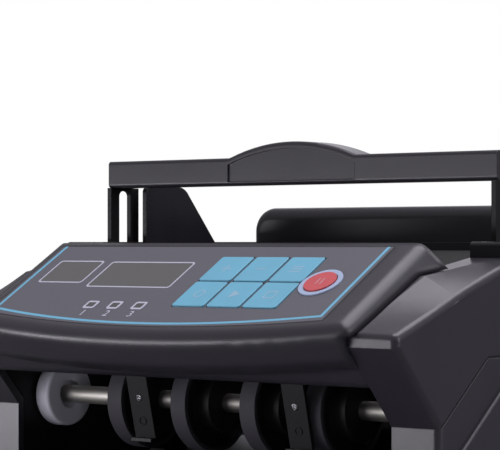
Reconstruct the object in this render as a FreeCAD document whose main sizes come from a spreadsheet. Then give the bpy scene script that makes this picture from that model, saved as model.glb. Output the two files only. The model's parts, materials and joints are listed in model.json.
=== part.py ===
"""Banknote counting machine: a parametric assembly of separate pieces, in millimetres.

+X is the machine's right side seen from the user, +Y runs from the user to the back and +Z is up.
The origin is on the table under the middle of the machine. Pieces of the control head are drawn in
the panel's own frame: x across, y up the slope from the panel's back edge and z out of the panel.
"""
import FreeCAD, Part
import math
import os
import re

import Sketcher
from FreeCAD import Rotation, Vector

SIZES = {
    # Whole machine
    "throat_half": 104, "casing_thick": 23, "skirt_proud": 2,
    "frame_thick": 2, "wall": 3, "seam_gap": 0.4, "fit_gap": 0.3, "run_gap": 0.05,
    # Base
    "foot_height": 8, "foot_radius": 10, "foot_x": 100, "foot_front_y": -100, "foot_rear_y": 96,
    "pan_thick": 2, "pan_flange": 12,
    # Side casing outline, seen from the side
    "casing_front": -118, "casing_rear": 114, "nose_top": 22, "nose_bevel": 6, "knee_y": -66, "knee_top": 42,
    "knee_low": 36, "notch_y": -60, "notch_top": 78, "lip_y": -88, "lip_low": 110, "lip_top": 115.2,
    "deck_front": -6, "deck_low": 144, "deck_top": 150.5, "shoulder_drop": 0.6, "crown_y": -48,
    "crown_rise": 7.75, "crease_front": 2, "crease_rear": 13, "casing_round": 3,
    "seam_slope": 39, "seam_width": 0.8, "skirt_low": 60, "skirt_top": 105, "skirt_inset": 2,
    # Control head, in the panel's frame
    "panel_y": -40, "panel_z": 150, "panel_slope": 31, "ridge_right": 8, "ridge_left": 15.5,
    "head_margin": 20, "head_lap": 9, "head_front": 57.6, "head_thick": 31, "bevel_angle": 57,
    "brim_reach": 74, "brim_radius": 540, "brim_thick": 14, "undercut_reach": 17, "undercut_drop": 14,
    "panel_wall": 3, "hollow_inset": 10, "lip_round": 6, "knee_drop": 6, "knee_reach": 4,
    "head_plate_thick": 1.6,
    # Panel overlay and what shows in it
    "overlay_half": 93, "overlay_back": 2.7, "overlay_reach": 66, "overlay_thick": 0.6, "print_gap": 0.1,
    "key_left": 9, "key_back": 12, "key_width": 17.3, "key_length": 18.6, "key_pitch_x": 18.85,
    "key_pitch_y": 19.7, "key_proud": 0.5, "key_depth": 2.2, "key_stem_radius": 2.5, "key_stem": 2.8,
    "key_round": 1.2, "key_travel": 0.5, "reset_x": 74, "reset_s": 31, "reset_radius": 7, "ring_radius": 9.5,
    "small_left": -83, "small_back": 15.7, "small_width": 26, "small_length": 17.4,
    "large_left": -51.3, "large_back": 16.2, "large_width": 47.7, "large_length": 19.9,
    "lens_thick": 1.5, "lens_land": 1.5, "led_first": -38.9, "led_pitch": 13.75, "led_back": 48.4,
    "led_width": 5.4, "led_length": 4.6, "led_proud": 0.2,
    "board_top": 9, "board_thick": 1.6, "board_gap": 2, "board_back": 5, "board_length": 48,
    "post_radius": 3, "post_inset": 4, "switch_side": 6, "module_drop": 3.8,
    # Hopper
    "floor_y": -8, "floor_z": 115, "floor_slope": 21.3, "floor_length": 87, "floor_thick": 2,
    "hopper_rear": 76, "guide_inset": 4, "guide_thick": 2.5, "guide_front": 20.5,
    "guide_back": 47.5, "guide_tail": 71, "guide_top": 177, "guide_tail_top": 149.5, "guide_round": 9,
    "guide_rod_y": 44, "guide_rod_z": 119, "guide_rod_radius": 3, "carriage_side": 13, "carriage_width": 14,
    "guide_travel": 45, "tongue_depth": 4, "slot_gap": 1.5,
    "rest_half": 95, "rest_front": 92, "rest_rear": 112, "rest_top": 167.3, "rest_round": 6,
    "rest_corner": 11.5,
    # Handle
    "bar_beyond": 6, "bar_front": 5, "bar_depth": 15, "bar_low": 176, "bar_top": 188.4, "hump_half": 36,
    "hump_top": 195, "hump_inset": 3, "hump_recess": 0.8, "bar_round": 1.6,
    "arm_thick": 2.4, "arm_front": 4.2, "arm_depth": 19, "arm_low": 130,
    "slot_width": 7.8, "slot_top": 174.6, "slot_low": 136, "stud_radius": 3.6,
    # Transport wheels under the head
    "transport_y": -36, "transport_z": 81.5, "shaft_radius": 4, "wheel_radius": 21.5, "tyre_thick": 1.5,
    "wheel_width": 8.2, "hub_radius": 13, "hub_length": 14, "web_inset": 2,
    "wheel_1": -51.5, "wheel_2": -14.6, "wheel_3": 23.8, "wheel_4": 58.5,
    "roller_radius": 14.5, "roller_width": 8.3, "roller_recess": 6.5, "roller_recess_depth": 3,
    "roller_end_gap": 0.6,
    # Feed rollers under the hopper
    "feed_y": 8, "feed_z": 100, "feed_radius": 21, "feed_width": 18, "feed_x": 32, "feed_tyre": 3,
    "gate_y": -24, "gate_depth": 6, "gate_low": 104, "gate_height": 10, "pad_depth": 4.5, "pad_width": 16,
    # Stacker wheels, tray and plates
    "stacker_y": -46, "stacker_z": 38, "stacker_radius": 23, "stacker_hub": 9, "stacker_width": 8,
    "stacker_1": -34, "stacker_2": 41, "finger_count": 8, "finger_thick": 1.6, "finger_lean": 38,
    "tray_front_z": 25, "tray_rear_y": -58, "tray_rear_z": 15, "tray_thick": 2.5, "tray_overhang": 4,
    "back_y": -54, "back_top": 56, "back_thick": 2, "back_window": 12,
    "strip_1": -28.8, "strip_2": 56.8, "strip_width": 11.5, "strip_thick": 1.6, "strip_top_y": -64.5,
    "strip_low_y": -57.5, "strip_low": 66.5, "strip_tab": 8, "strip_foot": 3,
    # Drive train on the right side
    "bush_radius": 8, "bush_length": 3, "plane_inner": 8, "plane_outer": 13, "pulley_width": 4,
    "shaft_end": 18, "feed_pulley": 11, "transport_pulley": 11, "stacker_pulley": 9, "motor_pulley": 7,
    "belt_thick": 1.4, "motor_y": 68, "motor_z": 48, "motor_radius": 26, "motor_length": 62,
    "motor_shaft": 3, "motor_bore_depth": 10, "tie_radius": 4, "tie_1_y": 98, "tie_1_z": 122, "tie_2_y": -6,
    "tie_2_z": 40,
    # Electrical pieces
    "core_left": -92, "core_front": 40, "core_length": 60, "core_depth": 46, "core_height": 50,
    "core_limb": 10, "coil_proud": 8,
    "main_left": -28, "main_front": -8, "main_width": 100, "main_depth": 52, "standoff": 6,
    "standoff_radius": 3,
    # Back cover and its fittings
    "cover_thick": 3, "cover_round": 2.4, "fitting_z": 34, "inlet_x": -60, "inlet_width": 27,
    "inlet_height": 20, "inlet_depth": 22, "flange_width": 48, "flange_height": 24, "flange_thick": 2,
    "socket_width": 23, "socket_height": 15, "socket_depth": 16, "blade_pitch": 5.75, "blade_rise": 2.5,
    "blade_thick": 2, "blade_width": 4,
    "rocker_x": -12, "rocker_width": 13, "rocker_height": 19, "rocker_depth": 9, "rocker_wall": 1.5,
    "rocker_gap": 1.2, "rocker_proud": 2, "rocker_dish": 1.4, "rocker_rise": 2.5, "fuse_x": 22,
    "fuse_radius": 7, "fuse_cap": 4, "fuse_body_radius": 5.5, "fuse_body": 24, "knob_x": 60, "knob_z": 108,
    "knob_radius": 11, "knob_thick": 4.7, "knob_flute_radius": 1.4, "knob_flutes": 16, "knob_shaft": 3,
    "knob_shaft_length": 12, "screw_radius": 3, "screw_head": 1.6, "screw_slot": 1, "screw_x": 112,
    "screw_low": 24, "screw_high": 130,
}

CASING_OUTER = "(throat_half + casing_thick)"
FRAME_OUTER = "(throat_half + frame_thick)"
PAN_TOP = "(foot_height + pan_thick)"
COVER_OUTER = "(casing_rear + cover_thick)"
SHOULDER_RISE = "((deck_low - lip_top) / (deck_front - lip_y))"
HEAD_HALF = "max(overlay_half + head_margin; throat_half + head_lap)"
HOLLOW_HALF = "(throat_half - hollow_inset)"
BOARD_HALF = "(%s - board_gap)" % HOLLOW_HALF
BAR_HALF = "(throat_half + bar_beyond)"
GUIDE_X = "(throat_half - guide_inset)"
PLANE_INNER = "(throat_half + plane_inner)"
PLANE_OUTER = "(throat_half + plane_outer)"
KEYS = ["key_%d" % number for number in range(1, 7)]
KEY_COLUMNS = 3
LED_COUNT = 3
WHEEL_COUNT = 4
SLANT = 0.7

doc = FreeCAD.newDocument("banknote_counter")
sheet = doc.addObject("Spreadsheet::Sheet", "dims")
for row, (alias, number) in enumerate(SIZES.items(), 1):
    sheet.set("A%d" % row, alias)
    sheet.set("B%d" % row, str(number))
    sheet.setAlias("B%d" % row, alias)
doc.recompute()

pieces = {}


def bind(text):
    """The expression with each size's name pointing at its cell."""
    def cell(match):
        return "dims." + match.group(0) if match.group(0) in SIZES else match.group(0)
    return re.sub(r"[a-z][a-z_0-9]*", cell, str(text))


def value(text):
    """The expression's present number."""
    return float(sheet.evalExpression(bind(text)))


def keep(label, item):
    """Name a finished piece; its label names its file."""
    item.Label = label
    pieces[label] = item
    return item


def place(item, x="0", y="0", z="0"):
    """Bind where the item sits."""
    for axis, text in zip("xyz", (x, y, z)):
        item.setExpression("Placement.Base." + axis, bind(text))
    return item


def on_slope(item, y, z, slope):
    """Bind the item to a frame that is tilted about X, its y axis rising to the back."""
    item.Placement = FreeCAD.Placement(Vector(), Rotation(Vector(1, 0, 0), value(slope)))
    place(item, "0", y, z)
    item.setExpression("Placement.Rotation.Angle", bind(slope))
    return item


def on_panel(item):
    """Bind the item to the panel's frame."""
    return on_slope(item, "panel_y", "panel_z", "panel_slope")


def new_body(name):
    return doc.addObject("PartDesign::Body", name)


def sketch_on(body, role, offset="0"):
    """An empty sketch on one of the body's own planes, moved along the plane's normal."""
    plane = [item for item in body.Origin.OriginFeatures if item.Role == role][0]
    sketch = body.newObject("Sketcher::SketchObject", body.Name + "_sketch")
    sketch.AttachmentSupport = [(plane, "")]
    sketch.MapMode = "FlatFace"
    sketch.setExpression("AttachmentOffset.Base.z", bind(offset))
    return sketch


def tie_point(sketch, line, end, x, y):
    """Bind one point of the sketch to its two distances from the origin."""
    for kind, text in (("DistanceX", x), ("DistanceY", y)):
        number = sketch.addConstraint(Sketcher.Constraint(kind, -1, 1, line, end, value(text)))
        sketch.setExpression("Constraints[%d]" % number, bind(text))


def polygon(sketch, points):
    """A closed outline of straight lines; each point is a pair of expressions."""
    first = sketch.GeometryCount
    count = len(points)
    corners = [Vector(value(x), value(y), 0) for x, y in points]
    for number in range(count):
        sketch.addGeometry(Part.LineSegment(corners[number], corners[(number + 1) % count]), False)
    for number in range(count):
        following = first + (number + 1) % count
        sketch.addConstraint(Sketcher.Constraint("Coincident", first + number, 2, following, 1))
    for number, (x, y) in enumerate(points):
        tie_point(sketch, first + number, 1, x, y)
    return sketch


def rectangle(sketch, left, low, width, height):
    right = "(%s + %s)" % (left, width)
    top = "(%s + %s)" % (low, height)
    return polygon(sketch, [(left, low), (right, low), (right, top), (left, top)])


def circle(sketch, x, y, radius):
    """A circle; its centre and radius are expressions."""
    shape = Part.Circle(Vector(value(x), value(y), 0), Vector(0, 0, 1), value(radius))
    number = sketch.addGeometry(shape, False)
    tie_point(sketch, number, 3, x, y)
    size = sketch.addConstraint(Sketcher.Constraint("Radius", number, value(radius)))
    sketch.setExpression("Constraints[%d]" % size, bind(radius))
    return sketch


def bowed_outline(sketch, half, back, reach, radius):
    """A panel outline: straight back and sides, and a front edge bowed forward about the Y axis."""
    half_now = value(half)
    back_now = value(back)
    reach_now = value(reach)
    radius_now = value(radius)
    corner_now = math.sqrt(radius_now ** 2 - half_now ** 2) - radius_now + reach_now
    left_back = Vector(-half_now, -back_now, 0)
    right_back = Vector(half_now, -back_now, 0)
    right_front = Vector(half_now, -corner_now, 0)
    left_front = Vector(-half_now, -corner_now, 0)
    sketch.addGeometry(Part.LineSegment(left_front, left_back), False)
    sketch.addGeometry(Part.LineSegment(left_back, right_back), False)
    sketch.addGeometry(Part.LineSegment(right_back, right_front), False)
    sketch.addGeometry(Part.Arc(left_front, Vector(0, -reach_now, 0), right_front), False)
    sketch.addConstraint(Sketcher.Constraint("Coincident", 0, 2, 1, 1))
    sketch.addConstraint(Sketcher.Constraint("Coincident", 1, 2, 2, 1))
    sketch.addConstraint(Sketcher.Constraint("Coincident", 2, 2, 3, 2))
    sketch.addConstraint(Sketcher.Constraint("Coincident", 0, 1, 3, 1))
    sketch.addConstraint(Sketcher.Constraint("Vertical", 0))
    sketch.addConstraint(Sketcher.Constraint("Vertical", 2))
    tie_point(sketch, 1, 1, "-" + half, "-" + back)
    tie_point(sketch, 1, 2, half, "-" + back)
    tie_point(sketch, 3, 3, "0", "%s - %s" % (radius, reach))
    size = sketch.addConstraint(Sketcher.Constraint("Radius", 3, radius_now))
    sketch.setExpression("Constraints[%d]" % size, bind(radius))
    return sketch


def pad(body, sketch, length, backward=False):
    """Add material on the sketch's normal side, or behind it."""
    feature = body.newObject("PartDesign::Pad", body.Name + "_pad")
    feature.Profile = sketch
    feature.setExpression("Length", bind(length))
    feature.Reversed = backward
    body.Tip = feature
    return feature


def pocket(body, sketch, length, forward=False):
    """Cut behind the sketch, or on its normal side, and make sure that it cut something."""
    doc.recompute()
    before = body.Tip.Shape.Volume
    feature = body.newObject("PartDesign::Pocket", body.Name + "_pocket")
    feature.Profile = sketch
    feature.setExpression("Length", bind(length))
    feature.Reversed = forward
    body.Tip = feature
    doc.recompute()
    if feature.Shape.Volume > before - 1e-6:
        raise RuntimeError("a pocket of %s cuts nothing" % body.Name)
    return feature


def round_edges(body, radius, chosen):
    """Round the edges of the body that the test chooses."""
    doc.recompute()
    base = body.Tip
    names = ["Edge%d" % number for number, edge in enumerate(base.Shape.Edges, 1) if chosen(edge)]
    feature = body.newObject("PartDesign::Fillet", body.Name + "_round")
    feature.Base = (base, names)
    feature.setExpression("Radius", bind(radius))
    body.Tip = feature
    return feature


def runs_along(edge, axis):
    """Whether a straight edge is parallel to the axis."""
    if edge.Curve.TypeId != "Part::GeomLine":
        return False
    return edge.Curve.Direction.cross(axis).Length < 1e-6


def near(number, text):
    return abs(number - value(text)) < 0.01


def rod(name, radius, length, at, axis=Vector(1, 0, 0)):
    """A cylinder that starts at a point and runs along the axis."""
    item = doc.addObject("Part::Cylinder", name)
    item.setExpression("Radius", bind(radius))
    item.setExpression("Height", bind(length))
    item.Placement = FreeCAD.Placement(Vector(), Rotation(Vector(0, 0, 1), axis))
    return place(item, *at)


def block(name, corner, size):
    item = doc.addObject("Part::Box", name)
    for side, text in zip(("Length", "Width", "Height"), size):
        item.setExpression(side, bind(text))
    return place(item, *corner)


def cut(name, base, *tools):
    """The base less each of the tools."""
    for tool in tools:
        item = doc.addObject("Part::Cut", name)
        item.Base = base
        item.Tool = tool
        base = item
    return base


def fuse(name, *parts):
    item = doc.addObject("Part::MultiFuse", name)
    item.Shapes = list(parts)
    item.Refine = True
    return item


def group(name, *parts):
    """Separate solids in one piece."""
    item = doc.addObject("Part::Compound", name)
    item.Links = list(parts)
    return item


def ring(name, outer, inner, length, at, axis=Vector(1, 0, 0)):
    solid = rod(name + "_outer", outer, length, at, axis)
    return cut(name, solid, rod(name + "_inner", inner, length, at, axis))


def mirrored(label, source):
    """The left-hand twin of a right-hand piece."""
    item = doc.addObject("Part::Mirroring", label)
    item.Source = source
    item.Base = Vector()
    item.Normal = Vector(1, 0, 0)
    return keep(label, item)


def profile_piece(name, points, start, length, role="YZ_Plane"):
    """A body padded from one outline."""
    body = new_body(name)
    pad(body, polygon(sketch_on(body, role, start), points), length)
    return body


# Base


def make_base():
    pan = new_body("base_pan")
    depth = "casing_rear - casing_front"
    half = "(%s - seam_gap)" % CASING_OUTER
    plate = rectangle(sketch_on(pan, "XY_Plane", "foot_height"), "-" + half, "casing_front", "2 * " + half,
                      depth)
    pad(pan, plate, "pan_thick")
    flange = rectangle(sketch_on(pan, "XY_Plane", PAN_TOP), "-throat_half + seam_gap", "casing_front",
                       "2 * throat_half - 2 * seam_gap", "pan_thick")
    pad(pan, flange, "pan_flange")
    keep("base_pan", pan)

    feet = []
    for x in ("-foot_x", "foot_x"):
        for y in ("foot_front_y", "foot_rear_y"):
            foot = doc.addObject("Part::Cone", "foot")
            foot.setExpression("Radius1", bind("foot_radius - wall / 2"))
            foot.setExpression("Radius2", bind("foot_radius"))
            foot.setExpression("Height", bind("foot_height"))
            feet.append(place(foot, x, y, "0"))
    keep("rubber_feet", group("rubber_feet", *feet))


def casing_points(inset, low):
    """The side casing's outline from the side up to its lip, drawn in by an inset, from a lowest height."""
    nose = "(nose_top - %s)" % inset
    slope = "(%s * %s)" % (inset, SLANT)
    return [
        ("casing_front + %s" % inset, low),
        ("casing_front + %s" % inset, nose),
        ("casing_front + nose_bevel + %s" % slope, "%s + nose_bevel" % nose),
        ("knee_y + %s" % slope, "knee_low - %s" % inset),
        ("notch_y + %s" % inset, "knee_top - %s" % slope),
        ("notch_y + %s" % inset, "notch_top + %s" % slope),
        ("lip_y + %s" % inset, "lip_low + %s" % slope),
    ]


def make_side_frame():
    inset = "(wall + fit_gap)"
    points = casing_points(inset, PAN_TOP)[:-1] + [
        ("lip_y + wall + " + inset, "lip_low"),
        ("deck_front", "deck_low - shoulder_drop - 2 * " + inset),
        ("deck_front + " + inset, "deck_low - fit_gap"),
        ("casing_rear - " + inset, "deck_low - fit_gap"),
        ("casing_rear - " + inset, PAN_TOP),
    ]
    frame = profile_piece("side_frame_right", points, "throat_half", "frame_thick")
    holes = sketch_on(frame, "YZ_Plane", FRAME_OUTER)
    for y, z, radius in (("transport_y", "transport_z", "bush_radius"), ("feed_y", "feed_z", "bush_radius"),
                         ("stacker_y", "stacker_z", "bush_radius"),
                         ("motor_y", "motor_z", "motor_shaft + 2 * fit_gap")):
        circle(holes, y, z, radius)
    pocket(frame, holes, "frame_thick")
    stud = sketch_on(frame, "YZ_Plane", FRAME_OUTER)
    circle(stud, "arm_front + arm_depth / 2", "slot_low + stud_radius + run_gap", "stud_radius")
    pad(frame, stud, BAR_HALF + " + wall - " + FRAME_OUTER)
    keep("side_frame_right", frame)
    mirrored("side_frame_left", frame)

    bars = []
    for number in ("1", "2"):
        at = ("-throat_half", "tie_%s_y" % number, "tie_%s_z" % number)
        bars.append(rod("tie_rod", "tie_radius", "2 * throat_half", at))
    bars.append(block("gate_rail", ("-throat_half", "gate_y", "gate_low"),
                      ("2 * throat_half", "gate_depth", "gate_height")))
    keep("tie_bars", group("tie_bars", *bars))

    pads = []
    for x in ("feed_x + (feed_width - pad_width) / 2", "-feed_x - (feed_width + pad_width) / 2"):
        pads.append(block("retard_pad", (x, "gate_y + gate_depth", "gate_low"),
                          ("pad_width", "pad_depth", "gate_height")))
    keep("retard_pads", group("retard_pads", *pads))


def shoulder_section(body, y, crease, crown, lift, inner_x, outer_x, far_z):
    """The shoulder's cross-section at one depth: level out to its crease, and falling from there outward."""
    share = "((%s - lip_y) / (deck_front - lip_y))" % y
    level = "(lip_top + (%s - lip_y) * %s + %s + %s)" % (y, SHOULDER_RISE, crown, lift)
    fall = "((shoulder_drop * %s + %s) / (casing_thick - %s))" % (share, crown, crease)
    sketch = sketch_on(body, "XZ_Plane", "-(%s)" % y)
    return polygon(sketch, [
        (inner_x, level),
        ("throat_half + " + crease, level),
        (outer_x, "%s - (%s - throat_half - %s) * %s" % (level, outer_x, crease, fall)),
        (outer_x, far_z),
        (inner_x, far_z),
    ])


def shoulder_solid(name, lift, inner_x, far_z):
    """The space above, or the block below, the creased top of the right shoulder."""
    body = new_body(name)
    outer_x = "(%s + casing_thick)" % CASING_OUTER
    share = "((crown_y - lip_y) / (deck_front - lip_y))"
    crease = "(crease_front + (crease_rear - crease_front) * %s)" % share
    sections = []
    for y, bend, rise in (("(lip_y - casing_thick)", "crease_front", "0"), ("lip_y", "crease_front", "0"),
                          ("crown_y", crease, "crown_rise"), ("deck_front", "crease_rear", "0")):
        sections.append(shoulder_section(body, y, bend, rise, lift, inner_x, outer_x, far_z))
    loft = body.newObject("PartDesign::AdditiveLoft", name + "_loft")
    loft.Profile = sections[0]
    loft.Sections = sections[1:]
    loft.Ruled = True
    body.Tip = loft
    return body


def make_casings():
    crown = "lip_top + (crown_y - lip_y) * %s + crown_rise + wall" % SHOULDER_RISE
    outline = casing_points("0", PAN_TOP) + [
        ("lip_y", "lip_top + wall"), ("crown_y", crown), ("deck_front", "deck_low"),
        ("casing_rear", "deck_low"), ("casing_rear", PAN_TOP),
    ]
    shell = profile_piece("casing_block", outline, "throat_half", "casing_thick")
    hollow = casing_points("wall", PAN_TOP + " - wall") + [
        ("deck_front", "deck_low - shoulder_drop - 2 * wall"),
        ("deck_front + wall", "deck_low + wall"),
        ("casing_rear - wall", "deck_low + wall"),
        ("casing_rear - wall", PAN_TOP + " - wall"),
    ]
    room = polygon(sketch_on(shell, "YZ_Plane", "throat_half"), hollow)
    pocket(shell, room, "casing_thick - wall", forward=True)

    space = shoulder_solid("shoulder_space", "0", "(throat_half - wall)", "deck_top + casing_thick")
    trimmed = cut("casing_trimmed", shell, space)
    doc.recompute()
    softened = doc.addObject("Part::Fillet", "casing_softened")
    softened.Base = trimmed
    chosen = []
    for number, edge in enumerate(trimmed.Shape.Edges, 1):
        ends = [vertex.Point for vertex in edge.Vertexes]
        on_face = all(near(point.x, CASING_OUTER) for point in ends)
        forward = all(point.y < value("deck_front") + 0.01 for point in ends)
        on_side = on_face and forward and max(point.z for point in ends) < value("deck_low") - 0.01
        on_lip = all(near(point.y, "lip_y") and near(point.z, "lip_top") for point in ends)
        if on_side or on_lip:
            chosen.append((number, value("casing_round"), value("casing_round")))
    softened.Edges = chosen

    run = "(skirt_top - notch_top)"
    bend = "(notch_y + %s / tan(seam_slope))" % run
    groove = profile_piece("seam_groove", [
        ("notch_y - wall", "notch_top - seam_width - wall * tan(seam_slope)"),
        (bend, "skirt_top - seam_width"),
        ("casing_rear + wall", "skirt_top - seam_width"), ("casing_rear + wall", "skirt_top"),
        (bend, "skirt_top"), ("notch_y - wall", "notch_top - wall * tan(seam_slope)"),
    ], CASING_OUTER + " - seam_width", "seam_width + wall")
    casing = cut("casing_right", softened, groove)
    keep("casing_right", casing)
    mirrored("casing_left", casing)

    ledge_back = "(notch_y + skirt_inset + (skirt_top - skirt_inset * 2 - skirt_low) / tan(seam_slope))"
    points = casing_points("skirt_inset", PAN_TOP + " + skirt_inset")[:5] + [
        ("notch_y + skirt_inset", "skirt_low"),
        (ledge_back, "skirt_top - skirt_inset * 2"),
        ("casing_rear - skirt_inset", "skirt_top - skirt_inset * 2"),
        ("casing_rear - skirt_inset", PAN_TOP + " + skirt_inset"),
    ]
    skirt = profile_piece("skirt_right", points, CASING_OUTER, "skirt_proud")
    face = CASING_OUTER + " + skirt_proud"
    round_edges(skirt, "skirt_proud / 2", lambda edge: all(near(point.X, face) for point in edge.Vertexes))
    keep("skirt_right", skirt)
    mirrored("skirt_left", skirt)


# Control head


def make_head():
    head = new_body("head_block")
    brim = bowed_outline(sketch_on(head, "XY_Plane"), HEAD_HALF, "0", "brim_reach", "brim_radius")
    pad(head, brim, "brim_thick", backward=True)
    slab = rectangle(sketch_on(head, "XY_Plane"), "-" + HEAD_HALF, "-head_front", "2 * " + HEAD_HALF,
                     "head_front")
    pad(head, slab, "head_thick", backward=True)
    middle = "(throat_half - seam_gap)"
    sections = []
    for drop, inward in (("0", "0"), ("knee_drop", "knee_reach"), ("undercut_drop", "undercut_reach")):
        level = sketch_on(head, "XY_Plane", "-brim_thick - " + drop)
        sections.append(bowed_outline(level, middle, "undercut_reach", "(brim_reach - %s)" % inward,
                                      "brim_radius"))
    loft = head.newObject("PartDesign::AdditiveLoft", "undercut")
    loft.Profile = sections[0]
    loft.Sections = sections[1:]
    loft.Ruled = True
    head.Tip = loft

    bevels = sketch_on(head, "XZ_Plane", "-wall")
    outside = "(%s + wall)" % HEAD_HALF
    for side, inset in (("", "ridge_right"), ("-", "ridge_left")):
        top = "(%s - %s - wall / tan(bevel_angle))" % (HEAD_HALF, inset)
        polygon(bevels, [(side + top, "wall"), (side + outside, "wall"),
                         (side + outside, "-(%s + wall) * tan(bevel_angle)" % inset)])
    pocket(head, bevels, "brim_reach + 2 * wall", forward=True)

    def ridge(edge):
        return runs_along(edge, Vector(0, 1, 0)) and abs(edge.CenterOfMass.z) < 0.01

    def lip(edge):
        front = edge.CenterOfMass.y < -value("head_front")
        return front and not runs_along(edge, Vector(1, 0, 0)) and abs(edge.CenterOfMass.z) < 0.01

    round_edges(head, "lip_round", lambda edge: ridge(edge) or lip(edge))

    room = rectangle(sketch_on(head, "XY_Plane", "-head_thick"), "-" + HOLLOW_HALF, "-head_front + wall",
                     "2 * " + HOLLOW_HALF, "head_front - 2 * wall")
    pocket(head, room, "head_thick - panel_wall", forward=True)
    posts = sketch_on(head, "XY_Plane", "-panel_wall")
    for x in ("-%s + post_inset" % BOARD_HALF, "%s - post_inset" % BOARD_HALF):
        for s in ("board_back + post_inset", "board_back + board_length - post_inset"):
            circle(posts, x, "-(%s)" % s, "post_radius")
    pad(head, posts, "board_top - panel_wall", backward=True)

    recess = bowed_outline(sketch_on(head, "XY_Plane"), "(overlay_half + print_gap)",
                           "(overlay_back - print_gap)", "(overlay_reach + print_gap)", "brim_radius")
    pocket(head, recess, "overlay_thick")
    seats = sketch_on(head, "XY_Plane")
    windows = sketch_on(head, "XY_Plane")
    for name in ("small", "large"):
        rectangle(seats, name + "_left - print_gap", "-%s_back - %s_length - print_gap" % (name, name),
                  name + "_width + 2 * print_gap", name + "_length + 2 * print_gap")
        rectangle(windows, name + "_left + lens_land", "-%s_back - %s_length + lens_land" % (name, name),
                  name + "_width - 2 * lens_land", name + "_length - 2 * lens_land")
    for number in range(LED_COUNT):
        rectangle(windows, "led_first + %d * led_pitch - print_gap" % number,
                  "-led_back - led_length - print_gap", "led_width + 2 * print_gap",
                  "led_length + 2 * print_gap")
    rectangle(windows, "key_left - fit_gap", "-key_back - key_pitch_y - key_length - fit_gap",
              "2 * key_pitch_x + key_width + 2 * fit_gap", "key_pitch_y + key_length + 2 * fit_gap")
    circle(windows, "reset_x", "-reset_s", "reset_radius + fit_gap")
    pocket(head, seats, "lens_thick")
    pocket(head, windows, "panel_wall")
    on_panel(head)

    under = shoulder_solid("shoulder_under", "seam_gap", "(throat_half - seam_gap)", "notch_top")
    other = doc.addObject("Part::Mirroring", "shoulder_under_left")
    other.Source = under
    other.Normal = Vector(1, 0, 0)
    keep("head_shell", cut("head_shell", head, under, other))

    corner = ("-%s + fit_gap" % HOLLOW_HALF, "-head_front + wall + fit_gap", "-head_thick")
    plate = block("head_bottom_plate", corner, ("2 * %s - 2 * fit_gap" % HOLLOW_HALF,
                                                "head_front - 2 * wall - 2 * fit_gap", "head_plate_thick"))
    keep("head_bottom_plate", group("head_bottom_plate", plate))
    on_panel(pieces["head_bottom_plate"])


def key_corner(number):
    """The near left corner of a key in the panel's frame."""
    column = number % KEY_COLUMNS
    row = number // KEY_COLUMNS
    return "(key_left + %d * key_pitch_x)" % column, "(-key_back - key_length - %d * key_pitch_y)" % row


def make_panel():
    overlay = new_body("overlay")
    film = bowed_outline(sketch_on(overlay, "XY_Plane"), "overlay_half", "overlay_back", "overlay_reach",
                         "brim_radius")
    pad(overlay, film, "overlay_thick", backward=True)
    openings = sketch_on(overlay, "XY_Plane")
    for name in ("small", "large"):
        rectangle(openings, name + "_left - print_gap", "-%s_back - %s_length - print_gap" % (name, name),
                  name + "_width + 2 * print_gap", name + "_length + 2 * print_gap")
    for number in range(LED_COUNT):
        rectangle(openings, "led_first + %d * led_pitch - print_gap" % number,
                  "-led_back - led_length - print_gap", "led_width + 2 * print_gap",
                  "led_length + 2 * print_gap")
    for number in range(len(KEYS)):
        x, y = key_corner(number)
        rectangle(openings, x + " - fit_gap", y + " - fit_gap", "key_width + 2 * fit_gap",
                  "key_length + 2 * fit_gap")
    circle(openings, "reset_x", "-reset_s", "ring_radius + print_gap")
    pocket(overlay, openings, "overlay_thick")
    keep("panel_overlay", on_panel(overlay))

    lenses = []
    for name in ("small", "large"):
        low = "-%s_back - %s_length" % (name, name)
        lenses.append(block("lens", (name + "_left", low, "-lens_thick"),
                            (name + "_width", name + "_length", "lens_thick")))
    keep("display_lenses", on_panel(group("display_lenses", *lenses)))

    lights = []
    for number in range(LED_COUNT):
        corner = ("led_first + %d * led_pitch" % number, "-led_back - led_length", "-board_top")
        lights.append(block("led", corner, ("led_width", "led_length", "board_top + led_proud")))
    keep("led_lenses", on_panel(group("led_lenses", *lights)))

    board = block("board", ("-" + BOARD_HALF, "-board_back - board_length", "-board_top - board_thick"),
                  ("2 * " + BOARD_HALF, "board_length", "board_thick"))
    keep("control_board", on_panel(group("control_board", board)))

    bezel = ring("bezel", "ring_radius", "reset_radius + fit_gap", "overlay_thick + key_proud",
                 ("reset_x", "-reset_s", "-overlay_thick"), Vector(0, 0, 1))
    keep("reset_ring", on_panel(group("reset_ring", bezel)))


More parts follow.
